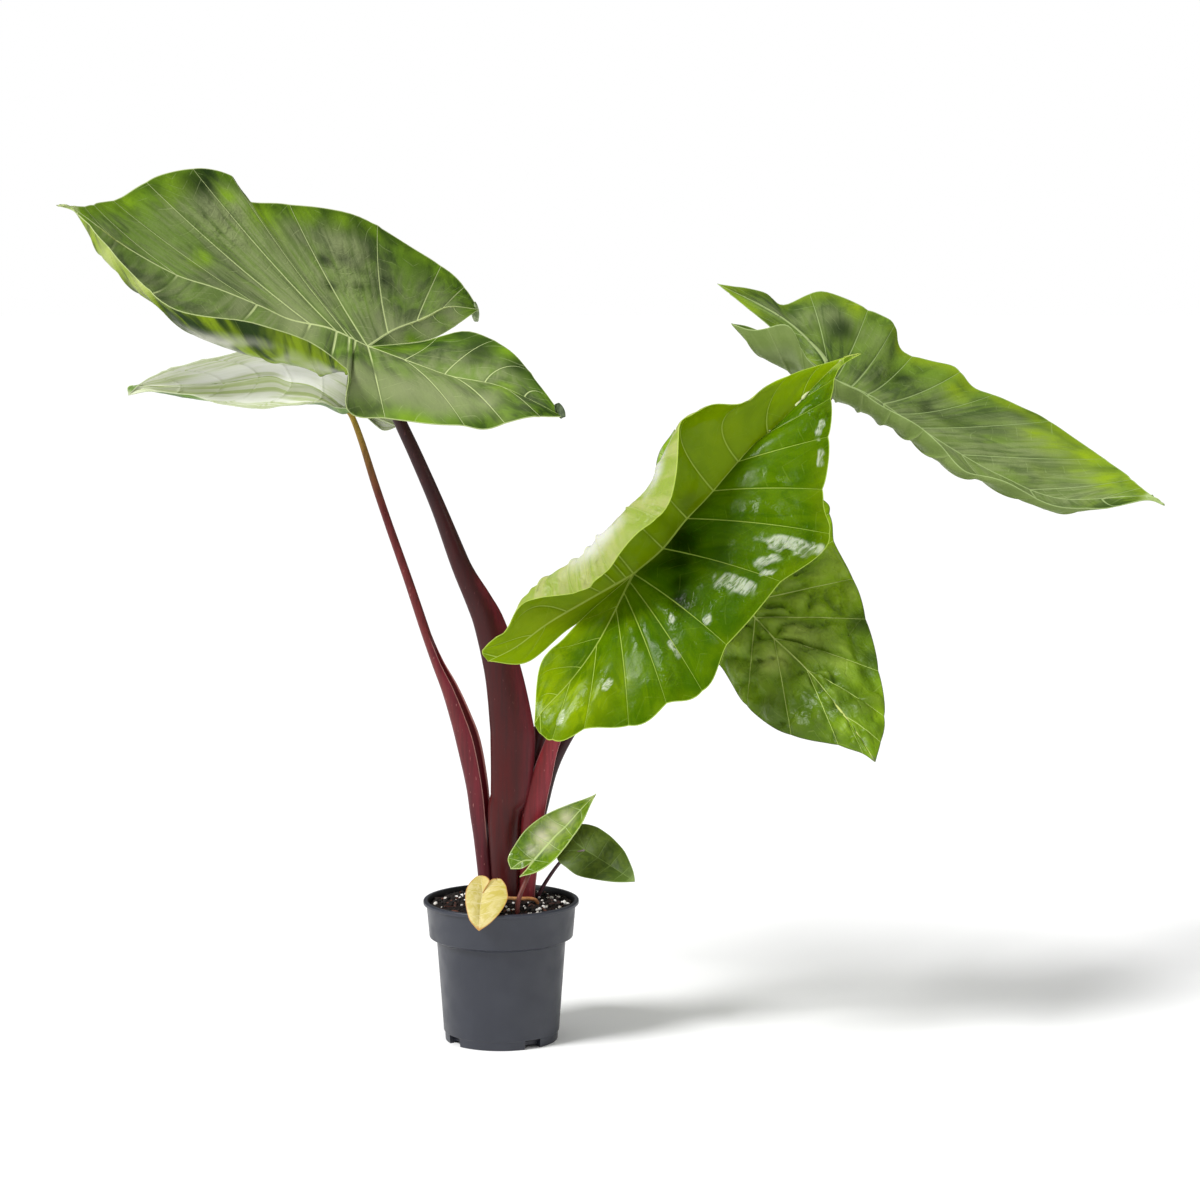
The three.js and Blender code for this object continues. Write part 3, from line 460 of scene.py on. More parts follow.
    "cells": 0.3, "midrib": [[16, -9, -8], [36, -20, -19], [54, -32, -28]], "leftRib": [[-6, 12, 11], [-13, 22, 21]],
    "rightRib": [[-16, 3, -1], [-32, 6, -3]], "leftSinus": [[-8, 7, 5], [-17, 13, 10]],
    "rightSinus": [[-8, 7, 5], [-17, 13, 10]],
    "veins": [
        (-0.5, -2, 22, 25, 0, 0, 0, -30, -2, -11, 0, 0, 0), (0, 13, 18, 22, 0, -1, 1, -21, -10, -17, 0, -1, 1),
        (0.25, 28, 6, 14, 0, -1, 1, -9, -18, -24, 0, -1, 1), (0.5, 42, -6, 1, 0, -1, 1, 8, -24, -27, 0, -1, 1),
        (0.75, 50, -18, -13, 0, 0, 0, 29, -29, -29, 0, 0, 0), (0.9, 53, -26, -21, 0, 0, 0, 44, -31, -29, 0, 0, 0),
    ],
},
"spent": {
    "keel": 1.2, "quilt": 0.4, "ripple": 0.5, "fine": 0.4, "ribWidth": 0.7, "veinWidth": 0.45, "pucker": 0.25,
    "cells": 0.2, "midrib": [[-2, -12, -10], [-3, -24, -22], [-3, -36, -33]], "leftRib": [[8, 3, 8], [16, 6, 15]],
    "rightRib": [[-1, 4, 9], [-1, 8, 18]], "leftSinus": [[3.5, 1, 6.5], [7.6, 3, 13], [11, 5, 15]],
    "rightSinus": [[3.4, 1, 6.5], [7.4, 3, 13], [4, 6, 17]],
    "veins": [
        (-0.9, 20, 5, 14.5, 0, 0, 0, -7, 7, 17, 0, 0, 0), (-0.5, 24.5, 2, 9, 0, 0, 0, -14, 3, 11, 0, 0, 0),
        (0, 26, -3, 5, 0, -1, 1, -18, -4, 3, 0, -1, 1), (0.3, 27, -11, -3, 0, -1, 1, -18, -13, -8, 0, -1, 1),
        (0.6, 21, -20, -14, 0, -1, 1, -14, -26, -22, 0, -1, 1), (0.85, 10, -29, -25, 0, 0, 0, -8, -32, -29, 0, 0, 0),
    ],
},
}


# Blades

blade = {  # a leaf's own values come before these
    "thickness": 0.9, "mergeGap": 0.00003, "acrossSteps": 44, "sinusSteps": 16, "sinusRows": 41,
    "spanSteps": [0, 0.025, 0.06, 0.12, 0.2, 0.3, 0.4, 0.5, 0.6, 0.7, 0.8, 0.88, 0.94, 0.975],
    "ribWidth": 2.0, "veinWidth": 0.8, "netSpacing": 15, "lean": [0, 0], "sweep": 1.3, "scallop": 0,
    "fine": 1, "pucker": 0.7, "puckerScale": 42, "foldScale": 62, "foldDepth": 3, "cells": 0.45,
    "gleam": [], "spotSeed": 5,
    "spots": ["shade", "glow", "mist", "folds", "plain", "paleUnder", "flap"],
}


def addSheet(columns, rows, place, reverse):  # a grid, bent so that place(column, row) gives its points
    startPiece()
    bpy.ops.mesh.primitive_grid_add(x_subdivisions=len(columns) - 1, y_subdivisions=len(rows) - 1, size=2)
    sheet = bpy.context.object
    flat = pointsOf(sheet)
    i = np.rint((flat[:, 0] + 1) / 2 * (len(columns) - 1)).astype(int)
    j = np.rint((flat[:, 1] + 1) / 2 * (len(rows) - 1)).astype(int)
    if reverse:
        i = len(columns) - 1 - i
    fields = place(np.asarray(columns)[i], np.asarray(rows)[j])
    setPoints(sheet, fields.pop("points") * mm)
    corners = np.empty(len(sheet.data.loops), dtype=int)
    sheet.data.loops.foreach_get("vertex_index", corners)
    sheet.data.uv_layers[0].data.foreach_set("uv", fields.pop("uv")[corners].ravel())
    for name, values in fields.items():
        setField(sheet, name, values)
    return sheet


def acrossRows(count):  # closer together at the rib and at the margin
    middle = np.linspace(0.05, 0.965, count - 8)
    return np.concatenate([[0, 0.008, 0.018, 0.031], middle, [0.98, 0.99, 0.996, 1]])


def gapOf(a, b):
    return np.linalg.norm(a - b, axis=1)


def leafSide(leaf, side):
    start = np.zeros(3)
    rib, sinus = (leaf[("left", "right")[side] + part] for part in ("Rib", "Sinus"))
    tip = leaf["midrib"][-1]
    lobe = rib[-1]
    lobeRib = alongCurve([start, *rib])
    midrib = alongCurve([start, *leaf["midrib"]])
    veins = leaf["veins"]
    first = 1 + 6 * side
    stations = [[-1], *[[v[0]] for v in veins], [1]]
    edges = [lobe, *[v[first:first + 3] for v in veins], tip]
    bows = [start, *[v[first + 3:first + 6] for v in veins], start]
    inner = [start, *sinus, lobe]
    last = len(stations) - 1

    def rootAt(s):
        return np.where(s[:, None] < 0, lobeRib(-s), midrib(s))

    def sheetAt(column, w):  # the veins lean towards the tip as they near the margin
        swing = np.sin(np.pi * smoothCurve(stations, column / last)[:, 0])
        k = column + leaf["lean"][side] * swing * w ** leaf["sweep"]
        s = smoothCurve(stations, k / last)[:, 0]
        root = rootAt(s)
        edge = smoothCurve(edges, k / last)
        width = gapOf(edge, root)
        bay = leaf["scallop"] * (np.abs(np.sin(np.pi * column)) - 0.5) * np.clip(width / 60 - 0.2, 0, 1)
        edge = edge + (edge - root) * (bay / np.maximum(width, 1))[:, None]
        control = (root + edge) / 2 + 2 * smoothCurve(bows, k / last)
        w = w[:, None]
        near = root + (control - root) * w
        far = control + (edge - control) * w
        return near + (far - near) * w, s, root, edge

    def measure(points, root, edge, s, w, column):  # the fields that both parts of a side have
        ribGap = gapOf(points, root)
        ribHalf = leaf["ribWidth"] * (1.05 - 0.8 * np.abs(s))
        return {
            "points": points, "uv": np.stack([column, w], axis=1), "along": s, "across": w,
            "ribGap": ribGap, "ribRatio": ribGap / ribHalf, "edgeGap": gapOf(points, edge),
            "reach": gapOf(root, edge), "half": np.full(len(s), float(side)),
        }

    def outer(k, w):
        points, s, root, edge = sheetAt(k, w)
        nearest = np.clip(np.rint(k), 1, last - 1)
        veinGap = gapOf(points, sheetAt(nearest, w)[0])
        middle = np.minimum(np.floor(k), last - 1) + 0.5
        middleGap = gapOf(points, sheetAt(middle, w)[0])
        between = np.abs(np.sin(np.pi * k))
        fade = np.minimum(1, 3 * np.minimum(k, last - k) / last)
        dome = 1 - (2 * np.clip(w * 1.04, 0, 1) - 1) ** 4
        lift = leaf["quilt"] * (between ** 1.1) * dome * 0.85
        lift += leaf["ripple"] * (0.5 - between ** 2) * w ** 3
        fields = measure(points, root, edge, s, w, k + 30 * side)
        return {
            **fields, "veinGap": veinGap, "veinRatio": veinGap / (leaf["veinWidth"] * (1.25 - w)),
            "net": (fields["ribGap"] - 0.7 * middleGap) / (leaf["netSpacing"] * leaf["fine"]),
            "lift": lift * fade, "station": k + 30 * side,
        }

    def lobeInner(column, w):
        k = column - 0.24 * np.sin(-np.pi * column) * w ** 1.4
        root = rootAt(k)
        edge = smoothCurve(inner, -k)
        points = root + (edge - root) * w[:, None]
        veinGap = np.abs(column - np.clip(np.rint(column * 5) / 5, -0.8, -0.2)) * np.linalg.norm(lobe)
        veinHalf = 0.6 * leaf["veinWidth"] * (1.2 - w)
        narrow = np.maximum(0, 20 - gapOf(root, edge))
        fields = measure(points, root, edge, k, w, 60 + 30 * side + 2 * k)
        return {
            **fields, "veinGap": veinGap + narrow, "veinRatio": veinGap / veinHalf + narrow,
            "net": fields["ribGap"] / (leaf["netSpacing"] * leaf["fine"]) + 4 * k,
            "lift": np.zeros(len(k)), "station": np.full(len(k), -9.0),
        }

    return outer, lobeInner, last


def patchesAt(points, spots, seed):  # soft-edged spots
    field = np.zeros(len(points))
    ragged = 1 + 0.4 * noiseAt(points, 40, seed)
    for x, y, z, radius in spots:
        gap = np.linalg.norm(points / mm - [x, y, z], axis=1) * ragged
        field = np.maximum(field, np.exp(-(gap / radius) ** 2))
    return field


def gleamAt(points, station, across, strips):  # painted highlight strips: place and half width along the rib, then across
    field = np.zeros(len(points))
    ragged = 0.5 * noiseAt(points, 130, 12)
    for place, length, middle, width in strips:
        a = np.abs(station - place) / length + ragged
        b = np.abs(across - middle) / width + ragged
        field = np.maximum(field, np.exp(-np.maximum(a, 0) ** 4 - np.maximum(b, 0) ** 4))
    return field


def makeBlade(name, node, leaf, at, slot, material):
    leaf = {**blade, **leaf}
    sheets = []
    for side in (0, 1):
        outer, lobeInner, last = leafSide(leaf, side)
        columns = [k + t for k in range(last) for t in leaf["spanSteps"]] + [last]
        sheets.append(addSheet(columns, acrossRows(leaf["acrossSteps"]), outer, side == 1))
        columns = np.linspace(-1, 0, leaf["sinusRows"])
        rows = np.concatenate([[0, 0.02, 0.05], np.linspace(0.1, 0.97, leaf["sinusSteps"] - 4), [1]])
        sheets.append(addSheet(columns, rows, lobeInner, side == 0))
    selectOnly(*sheets)
    bpy.ops.object.join()
    piece = bpy.context.object
    piece.name = name
    editWhole(piece, lambda: bpy.ops.mesh.remove_doubles(threshold=leaf["mergeGap"]))

    def field(name):
        return fieldOf(piece, name)

    points = pointsOf(piece)
    for place, spots in enumerate(leaf["spots"]):
        setField(piece, spots, patchesAt(points, leaf.get(spots, []), leaf["spotSeed"] + place))
    setField(piece, "gleam", gleamAt(points, field("station"), field("across"), leaf["gleam"]))
    broad = np.clip(field("reach") / 30 - 0.15, 0, 1)
    calm = np.minimum(1, field("veinGap") / 7) * np.minimum(1, field("ribGap") / 9) * broad
    free = np.minimum(1, field("edgeGap") / 9)
    relief = leaf["pucker"] * (noiseAt(points, leaf["puckerScale"], 1) + 0.4 * noiseAt(points, 110, 2))
    crumple = np.abs(noiseAt(points, leaf["foldScale"], 8)) ** 0.65 - 0.35 + 0.12 * noiseAt(points, 120, 9)
    relief = relief + leaf["foldDepth"] * crumple * field("folds")
    net = field("net") + 0.5 * noiseAt(points, 22, 4)
    setField(piece, "net", net)
    relief = relief + leaf["cells"] * (np.abs(np.sin(np.pi * net)) ** 0.7 - 0.6)
    setField(piece, "relief", relief * calm * free / leaf["foldDepth"])
    lift = field("lift") * broad + relief * calm * free
    lift = lift + 0.4 * leaf["fine"] * np.exp(-(field("ribRatio") / 0.9) ** 2) * free * broad
    groove = np.exp(-(field("veinRatio") / 1.1) ** 2)
    lift = lift - 0.45 * leaf["fine"] * groove * free * broad
    lift = lift + 0.9 * leaf["ripple"] * noiseAt(points, 24, 3) * field("across") ** 4 * calm
    raised = points + normalsOf(piece) * (lift[:, None] + leaf["thickness"] / 2) * mm
    setPoints(piece, raised + np.array(at) * mm)

    count = len(piece.data.vertices)
    thicken(piece, leaf["thickness"])
    under = (np.arange(len(piece.data.vertices)) >= count).astype(float)
    s = field("along")
    keel = leaf["keel"] * np.where(s < 0, 0.6 * (1 + s), (1 - np.clip(s, 0, 1)) ** 0.7)
    ridge = keel * np.exp(-(field("ribGap") / (0.55 * leaf["keel"] + 1)) ** 2)
    vein = 1.1 * leaf["fine"] * np.exp(-(field("veinRatio") / 1.6) ** 2)
    vein = vein * np.minimum(1, field("edgeGap") / 12) * np.clip(field("reach") / 30 - 0.15, 0, 1)
    down = (normalsOf(piece) * (under * np.maximum(ridge, vein))[:, None]) * mm
    setPoints(piece, pointsOf(piece) + down)
    setField(piece, "under", under)
    smoothLook(piece)
    finishPiece(piece, node, slot, material)


plainLeaf = {  # the order of each leaf's tones and amounts, then what a leaf has unless it says otherwise
    "toneOrder": ["dark", "light", "deep", "edge", "vein", "veil", "under", "underDark", "underVein", "underPale"],
    "amountOrder": ["contrast", "threads", "paintedSheenAmount", "veinShow", "bands", "underShow", "shine", "roughness",
                    "netBump"],
    "edgeGlow": 0.6, "sheen": 0.25, "paintedCreaseShade": 0.5, "gleamAmount": 0, "paleFrom": 0.42, "through": 0, "coat": 0.0,
}

leafLooks = {
"leftHigh": {
    "tones": [(36, 60, 10), (94, 128, 22), (14, 32, 6), (126, 163, 20), (188, 201, 139), (137, 147, 101),
        (125, 150, 16), (34, 56, 10), (153, 168, 89), (200, 201, 185)],
    "amounts": [1.0, 0.22, 0.75, 0.95, 1.0, 0.25, 0.14, 0.36, 0.5], "underGlow": tone(180, 192, 111),
    "underCalm": tone(110, 130, 72),
},
"leftLow": {
    "tones": [(62, 92, 30), (120, 156, 58), (50, 80, 20), (120, 158, 50), (176, 196, 128), (128, 144, 108),
        (213, 215, 200), (175, 188, 130), (150, 168, 92), (236, 236, 232)],
    "amounts": [0.8, 0.3, 0.4, 0.8, 0.9, 0.05, 0.15, 0.42, 0.3], "rim": tone(190, 198, 164), "grain": (0.2, 10),
},
"front": {
    "tones": [(42, 78, 0), (85, 115, 0), (7, 25, 0), (124, 147, 2), (172, 194, 84), (94, 122, 14), (157, 164, 98),
        (126, 148, 44), (190, 200, 140), (202, 203, 194)],
    "amounts": [0.6, 0.12, 0.1, 0.7, 0.75, 0.3, 0.07, 0.19, 0.25], "edgeGlow": 0.3, "paintedLightLeft": tone(119, 145, 0),
    "gleam": tone(226, 230, 214), "gleamAmount": 0.5, "through": 0.2, "paleFrom": 0.36,
    "underGlow": tone(194, 199, 128), "paintedCreaseShade": 0.3, "sheen": 0.1,
},
"hanging": {
    "tones": [(92, 125, 4), (132, 165, 12), (40, 65, 2), (99, 124, 4), (196, 212, 122), (162, 177, 86),
        (152, 169, 91), (111, 141, 50), (193, 201, 116), (193, 201, 132)],
    "amounts": [0.7, 0.12, 0.1, 1.0, 0.3, 0.5, 0.2, 0.36, 0.5], "edgeGlow": 0.3, "paintedCreaseShade": 0.5, "sheen": 0.2,
    "rim": tone(78, 84, 62),
},
"right": {
    "tones": [(48, 71, 18), (98, 126, 35), (26, 44, 12), (129, 154, 15), (162, 181, 120), (130, 143, 93),
        (113, 131, 71), (89, 111, 44), (152, 166, 111), (135, 148, 105)],
    "amounts": [1.0, 0.3, 0.75, 0.7, 0.4, 0.4, 0.12, 0.4, 0.5],
},
"youngFront": {
    "tones": [(41, 78, 5), (114, 141, 24), (29, 56, 5), (94, 128, 14), (186, 206, 130), (221, 214, 184),
        (167, 175, 85), (127, 149, 51), (196, 195, 119), (196, 195, 136)],
    "amounts": [1.0, 0.25, 0.06, 0.7, 0.3, 0.5, 0.5, 0.18, 0.3], "through": 0.15, "coat": 0.2,
},
"youngBack": {
    "tones": [(48, 68, 10), (86, 106, 24), (20, 36, 6), (74, 98, 20), (116, 138, 70), (80, 100, 44), (110, 120, 80),
        (80, 96, 50), (140, 150, 100), (120, 130, 90)],
    "amounts": [0.8, 0.3, 0.2, 0.7, 0.3, 0.5, 0.2, 0.42, 0.3],
},
"spent": {
    "tones": [(180, 166, 74), (206, 193, 136), (156, 146, 40), (190, 166, 84), (221, 211, 170), (208, 195, 120),
        (197, 178, 110), (175, 149, 80), (212, 195, 150), (202, 187, 150)],
    "amounts": [1.0, 0.3, 0.2, 0.6, 0.3, 0.5, 0.2, 0.5, 0.3], "rim": tone(178, 122, 60), "paintedCreaseShade": 0,
},
}


def leafMaterial(name, given):
    look = {**plainLeaf, **given}
    look.update(zip(plainLeaf["toneOrder"], [tone(*t) for t in given["tones"]]))
    look.update(zip(plainLeaf["amountOrder"], given["amounts"]))
    paint = Paint(name)
    blend, times, ramp, mottle, field = paint.blend, paint.times, paint.ramp, paint.mottle, paint.field
    spot = paint.spot()
    uv = paint.uv()
    edgeGap = field("edgeGap")
    folds = field("folds")
    rib = ramp(field("ribRatio"), 0.55, 1.1, 1, 0)
    vein = ramp(field("veinRatio"), 0.45, 1.2, 1, 0)
    vein = times(vein, ramp(field("plain"), 0.3, 0.8, 1, 0.1))
    threads = ramp(paint.math("PINGPONG", field("net"), 0.5), 0.0, 0.05, 1, 0)
    threads = times(threads, mottle(spot, 60, 2, 0.42, 0.6))

    cloud = mottle(spot, 11, 3, 0.38, 0.62)
    fibre = ramp(paint.noise(paint.stretch(uv, (2.1, 2.4, 1)), 1.0, 4, 0.6, 1.0), 0.36, 0.64)
    blotch = times(paint.math("ADD", cloud, fibre), 0.5)
    spread = look["contrast"] / 2
    top = blend(ramp(blotch, 0, 1, 0.5 - spread, 0.5 + spread), look["dark"], look["light"])
    # Painted light: the left half is lifted towards a brighter tone, since it faces away from the lamps.
    if "paintedLightLeft" in look:
        paintedLightMask = times(ramp(field("half"), 0.4, 0.6, 0.9, 0), ramp(blotch, 0, 1, 0.75, 1))
        top = blend(paintedLightMask, top, look["paintedLightLeft"])
    # Painted sheen: a pale grey-green reflection laid in wisps over the middle of the leaf, away from the margin.
    paintedSheenPlace = mottle(paint.stretch(spot, (6, 6, 6), (3, 1, 2)), 1, 2, 0.3, 0.62)
    wisps = ramp(paint.noise(paint.stretch(uv, (7, 2.2, 1), (4, 2, 0)), 1.0, 3, 0.6, 0.8), 0.36, 0.62, 0.45, 1)
    paintedSheenPlace = times(times(paintedSheenPlace, ramp(edgeGap, 4, 42)), wisps)
    top = blend(times(paintedSheenPlace, look["paintedSheenAmount"]), top, look["veil"])
    # Painted glow: lime margins and glow spots, painted as light shining through the leaf.
    paintedGlow = times(ramp(edgeGap, 2, 26, look["edgeGlow"], 0), mottle(spot, 16, 2, 0.42, 0.62))
    paintedGlow = paint.most(paintedGlow, times(field("glow"), ramp(fibre, 0, 1, 0.6, 1)))
    top = blend(paintedGlow, top, look["edge"])
    # Painted shade in the hollows of the folds and painted sheen on their bulges, following the relief.
    relief = field("relief")
    paintedCreaseShade = times(ramp(relief, -0.3, 0.0, 1, 0), folds)
    paintedBulgeSheen = times(ramp(relief, 0.06, 0.3), folds)
    top = blend(times(paintedBulgeSheen, look["sheen"]), top, look["veil"])
    # Painted shade: the shade spots and the painted crease shade darken the leaf towards the deep tone.
    shade = paint.most(field("shade"), times(paintedCreaseShade, look["paintedCreaseShade"]))
    # The painted shade is weakened on the painted-light left half.
    if "paintedLightLeft" in look:
        shade = times(shade, ramp(field("half"), 0.4, 0.6, 0.45, 1))
    top = blend(times(shade, 0.9), top, look["deep"])
    # Painted sheen: pale patches at the sheen spots, where the gloss would catch the light.
    top = blend(times(field("mist"), 0.8), top, look["veil"])
    # Painted highlight: glints in comb-like streaks along the gleam strips.
    comb = ramp(paint.noise(paint.stretch(uv, (5, 36, 1)), 1.0, 3, 0.6, 1.2), 0.34, 0.6, 0.15, 1)
    gleam = times(ramp(field("gleam"), 0.1, 0.7), comb)
    top = blend(times(gleam, look["gleamAmount"]), top, look.get("gleam", look["veil"]))
    # Painted shade in the grooves beside the veins.
    top = blend(ramp(field("veinRatio"), 1.0, 4.5, 0.22, 0), top, look["dark"])
    ribs = paint.most(rib, times(vein, 0.9))
    ribs = paint.most(ribs, times(threads, look["threads"]), clamp=True)
    top = blend(times(ribs, look["veinShow"]), top, look["vein"])

    # Streaks on the underside: on leftHigh painted shade of its ripples, elsewhere the underside's own streaks.
    grain = look.get("grain", (1.9, 0.9))
    bands = ramp(paint.noise(paint.stretch(uv, (*grain, 1)), 1.0, 3, 0.6, 0.8), 0.4, 0.6, 0, look["bands"])
    bottom = blend(bands, look["under"], look["underDark"])
    # Pale patches on the underside: partly its own paler colour, partly painted sheen.
    pale = paint.noise(paint.stretch(uv, (0.4, 2.5, 1), (2, 5, 0)), 1.0, 3) if "grain" in look \
        else paint.noise(spot, 12, 3)
    pale = ramp(pale, look["paleFrom"], look["paleFrom"] + 0.18, 0, 0.85)
    bottom = blend(times(pale, ramp(edgeGap, 14, 40)), bottom, look["underPale"])
    bottom = blend(times(field("paleUnder"), 0.85), bottom, look.get("underGlow", look["edge"]))
    if "underCalm" in look:
        # The flap's underside: its own underCalm tone, up to half painted sheen.
        calm = blend(ramp(blotch, 0, 1, 0, 0.5), look["underCalm"], look["veil"])
        bottom = blend(ramp(field("flap"), 0.15, 0.5), calm, bottom)
    ribsUnder = times(paint.most(rib, times(vein, look["underShow"])), 0.8)
    bottom = blend(ribsUnder, bottom, look["underVein"])
    colour = blend(field("under"), top, bottom)
    thin = times(ramp(field("reach"), 2, 10, 0.8, 0), ramp(field("along"), 0.8, 0.95))
    rim = paint.most(ramp(edgeGap, 0.5, 1.3, 0.75, 0), thin)
    colour = blend(rim, colour, look.get("rim", look["vein"]))

    normal = paint.bump(paint.math("ADD", times(threads, -0.5), paint.noise(spot, 320, 2)), look["netBump"], 0.0006)
    normal = paint.bump(paint.noise(spot, 75, 2), look["netBump"] * 0.8, 0.0018, normal)
    creases = times(paint.noise(spot, 130, 2, 0.5, 0.6), paint.math("ADD", folds, 0.04))
    normal = paint.bump(creases, 0.8, 0.003, normal)
    rough = mottle(spot, 50, 3, 0.3, 0.7, look["roughness"] - 0.06, look["roughness"] + 0.12)
    for part, amount in ((field("under"), 0.1), (gleam, -0.05), (ribs, 0.3)):
        rough = paint.math("ADD", rough, times(part, amount), clamp=part is ribs)
    return paint.finish(Base_Color=colour, Roughness=rough, Normal=normal,
                        Specular_IOR_Level=look["shine"], Coat_Weight=look["coat"], Coat_Roughness=0.12,
                        Subsurface_Weight=look["through"], Subsurface_Scale=0.004,
                        Subsurface_Radius=(0.7, 1.0, 0.15))


# Rolled tips of the lobes

curls = {
    "curlNear": {"place": [66, -66, 694.5], "axis": [0.45, 0.1, -1], "length": 17, "radius": 5.6, "turns": 1.5,
                 "start": 200, "low": tone(52, 68, 36), "high": tone(96, 110, 78)},
    "curlFar": {"place": [-33, 196, 785], "axis": [0.12, 0.1, -1], "length": 23, "radius": 6.2, "turns": 1.3,
                "start": 250, "low": tone(104, 122, 74), "high": tone(160, 172, 132)},
}


def makeCurl(name, curl):
    axis = np.array(curl["axis"]) / np.linalg.norm(curl["axis"])
    deep = np.cross(axis, [1, 0, 0])
    deep /= np.linalg.norm(deep)
    wide = np.cross(deep, axis)

    def scroll(u, v):  # u runs round the roll, v along it
        angle = math.radians(curl["start"]) + u * curl["turns"] * math.tau
        r = curl["radius"] * (1 - 0.62 * u) * (1 - 0.45 * (2 * v - 1) ** 2)
        along = (v - 0.5) * curl["length"] * (1 - 0.5 * u ** 2)
        points = np.array(curl["place"]) + wide * (r * np.cos(angle))[:, None] \
            + deep * (r * np.sin(angle))[:, None] + axis * along[:, None]
        return {"points": points, "uv": np.stack([u, v], axis=1)}

    piece = addSheet(np.linspace(0, 1, 57), np.linspace(0, 1, 25), scroll, False)
    piece.name = name
    thicken(piece, blade["thickness"])
    smoothLook(piece)
    paint = Paint(name + " skin")
    spot = paint.spot()
    colour = paint.blend(paint.mottle(spot, 150, 3, 0.4, 0.6), curl["low"], curl["high"])
    normal = paint.bump(paint.noise(spot, 400, 2), 0.4, 0.0006)
    finishPiece(piece, None, "leaf_deep_green", paint.finish(Base_Color=colour, Roughness=0.45, Normal=normal))


# Stalks. A row is a point of the middle in mm, the two half widths there, and how far the sheath stands open.
# The skin's tones are foot, middle, top, inside, lip and blush.

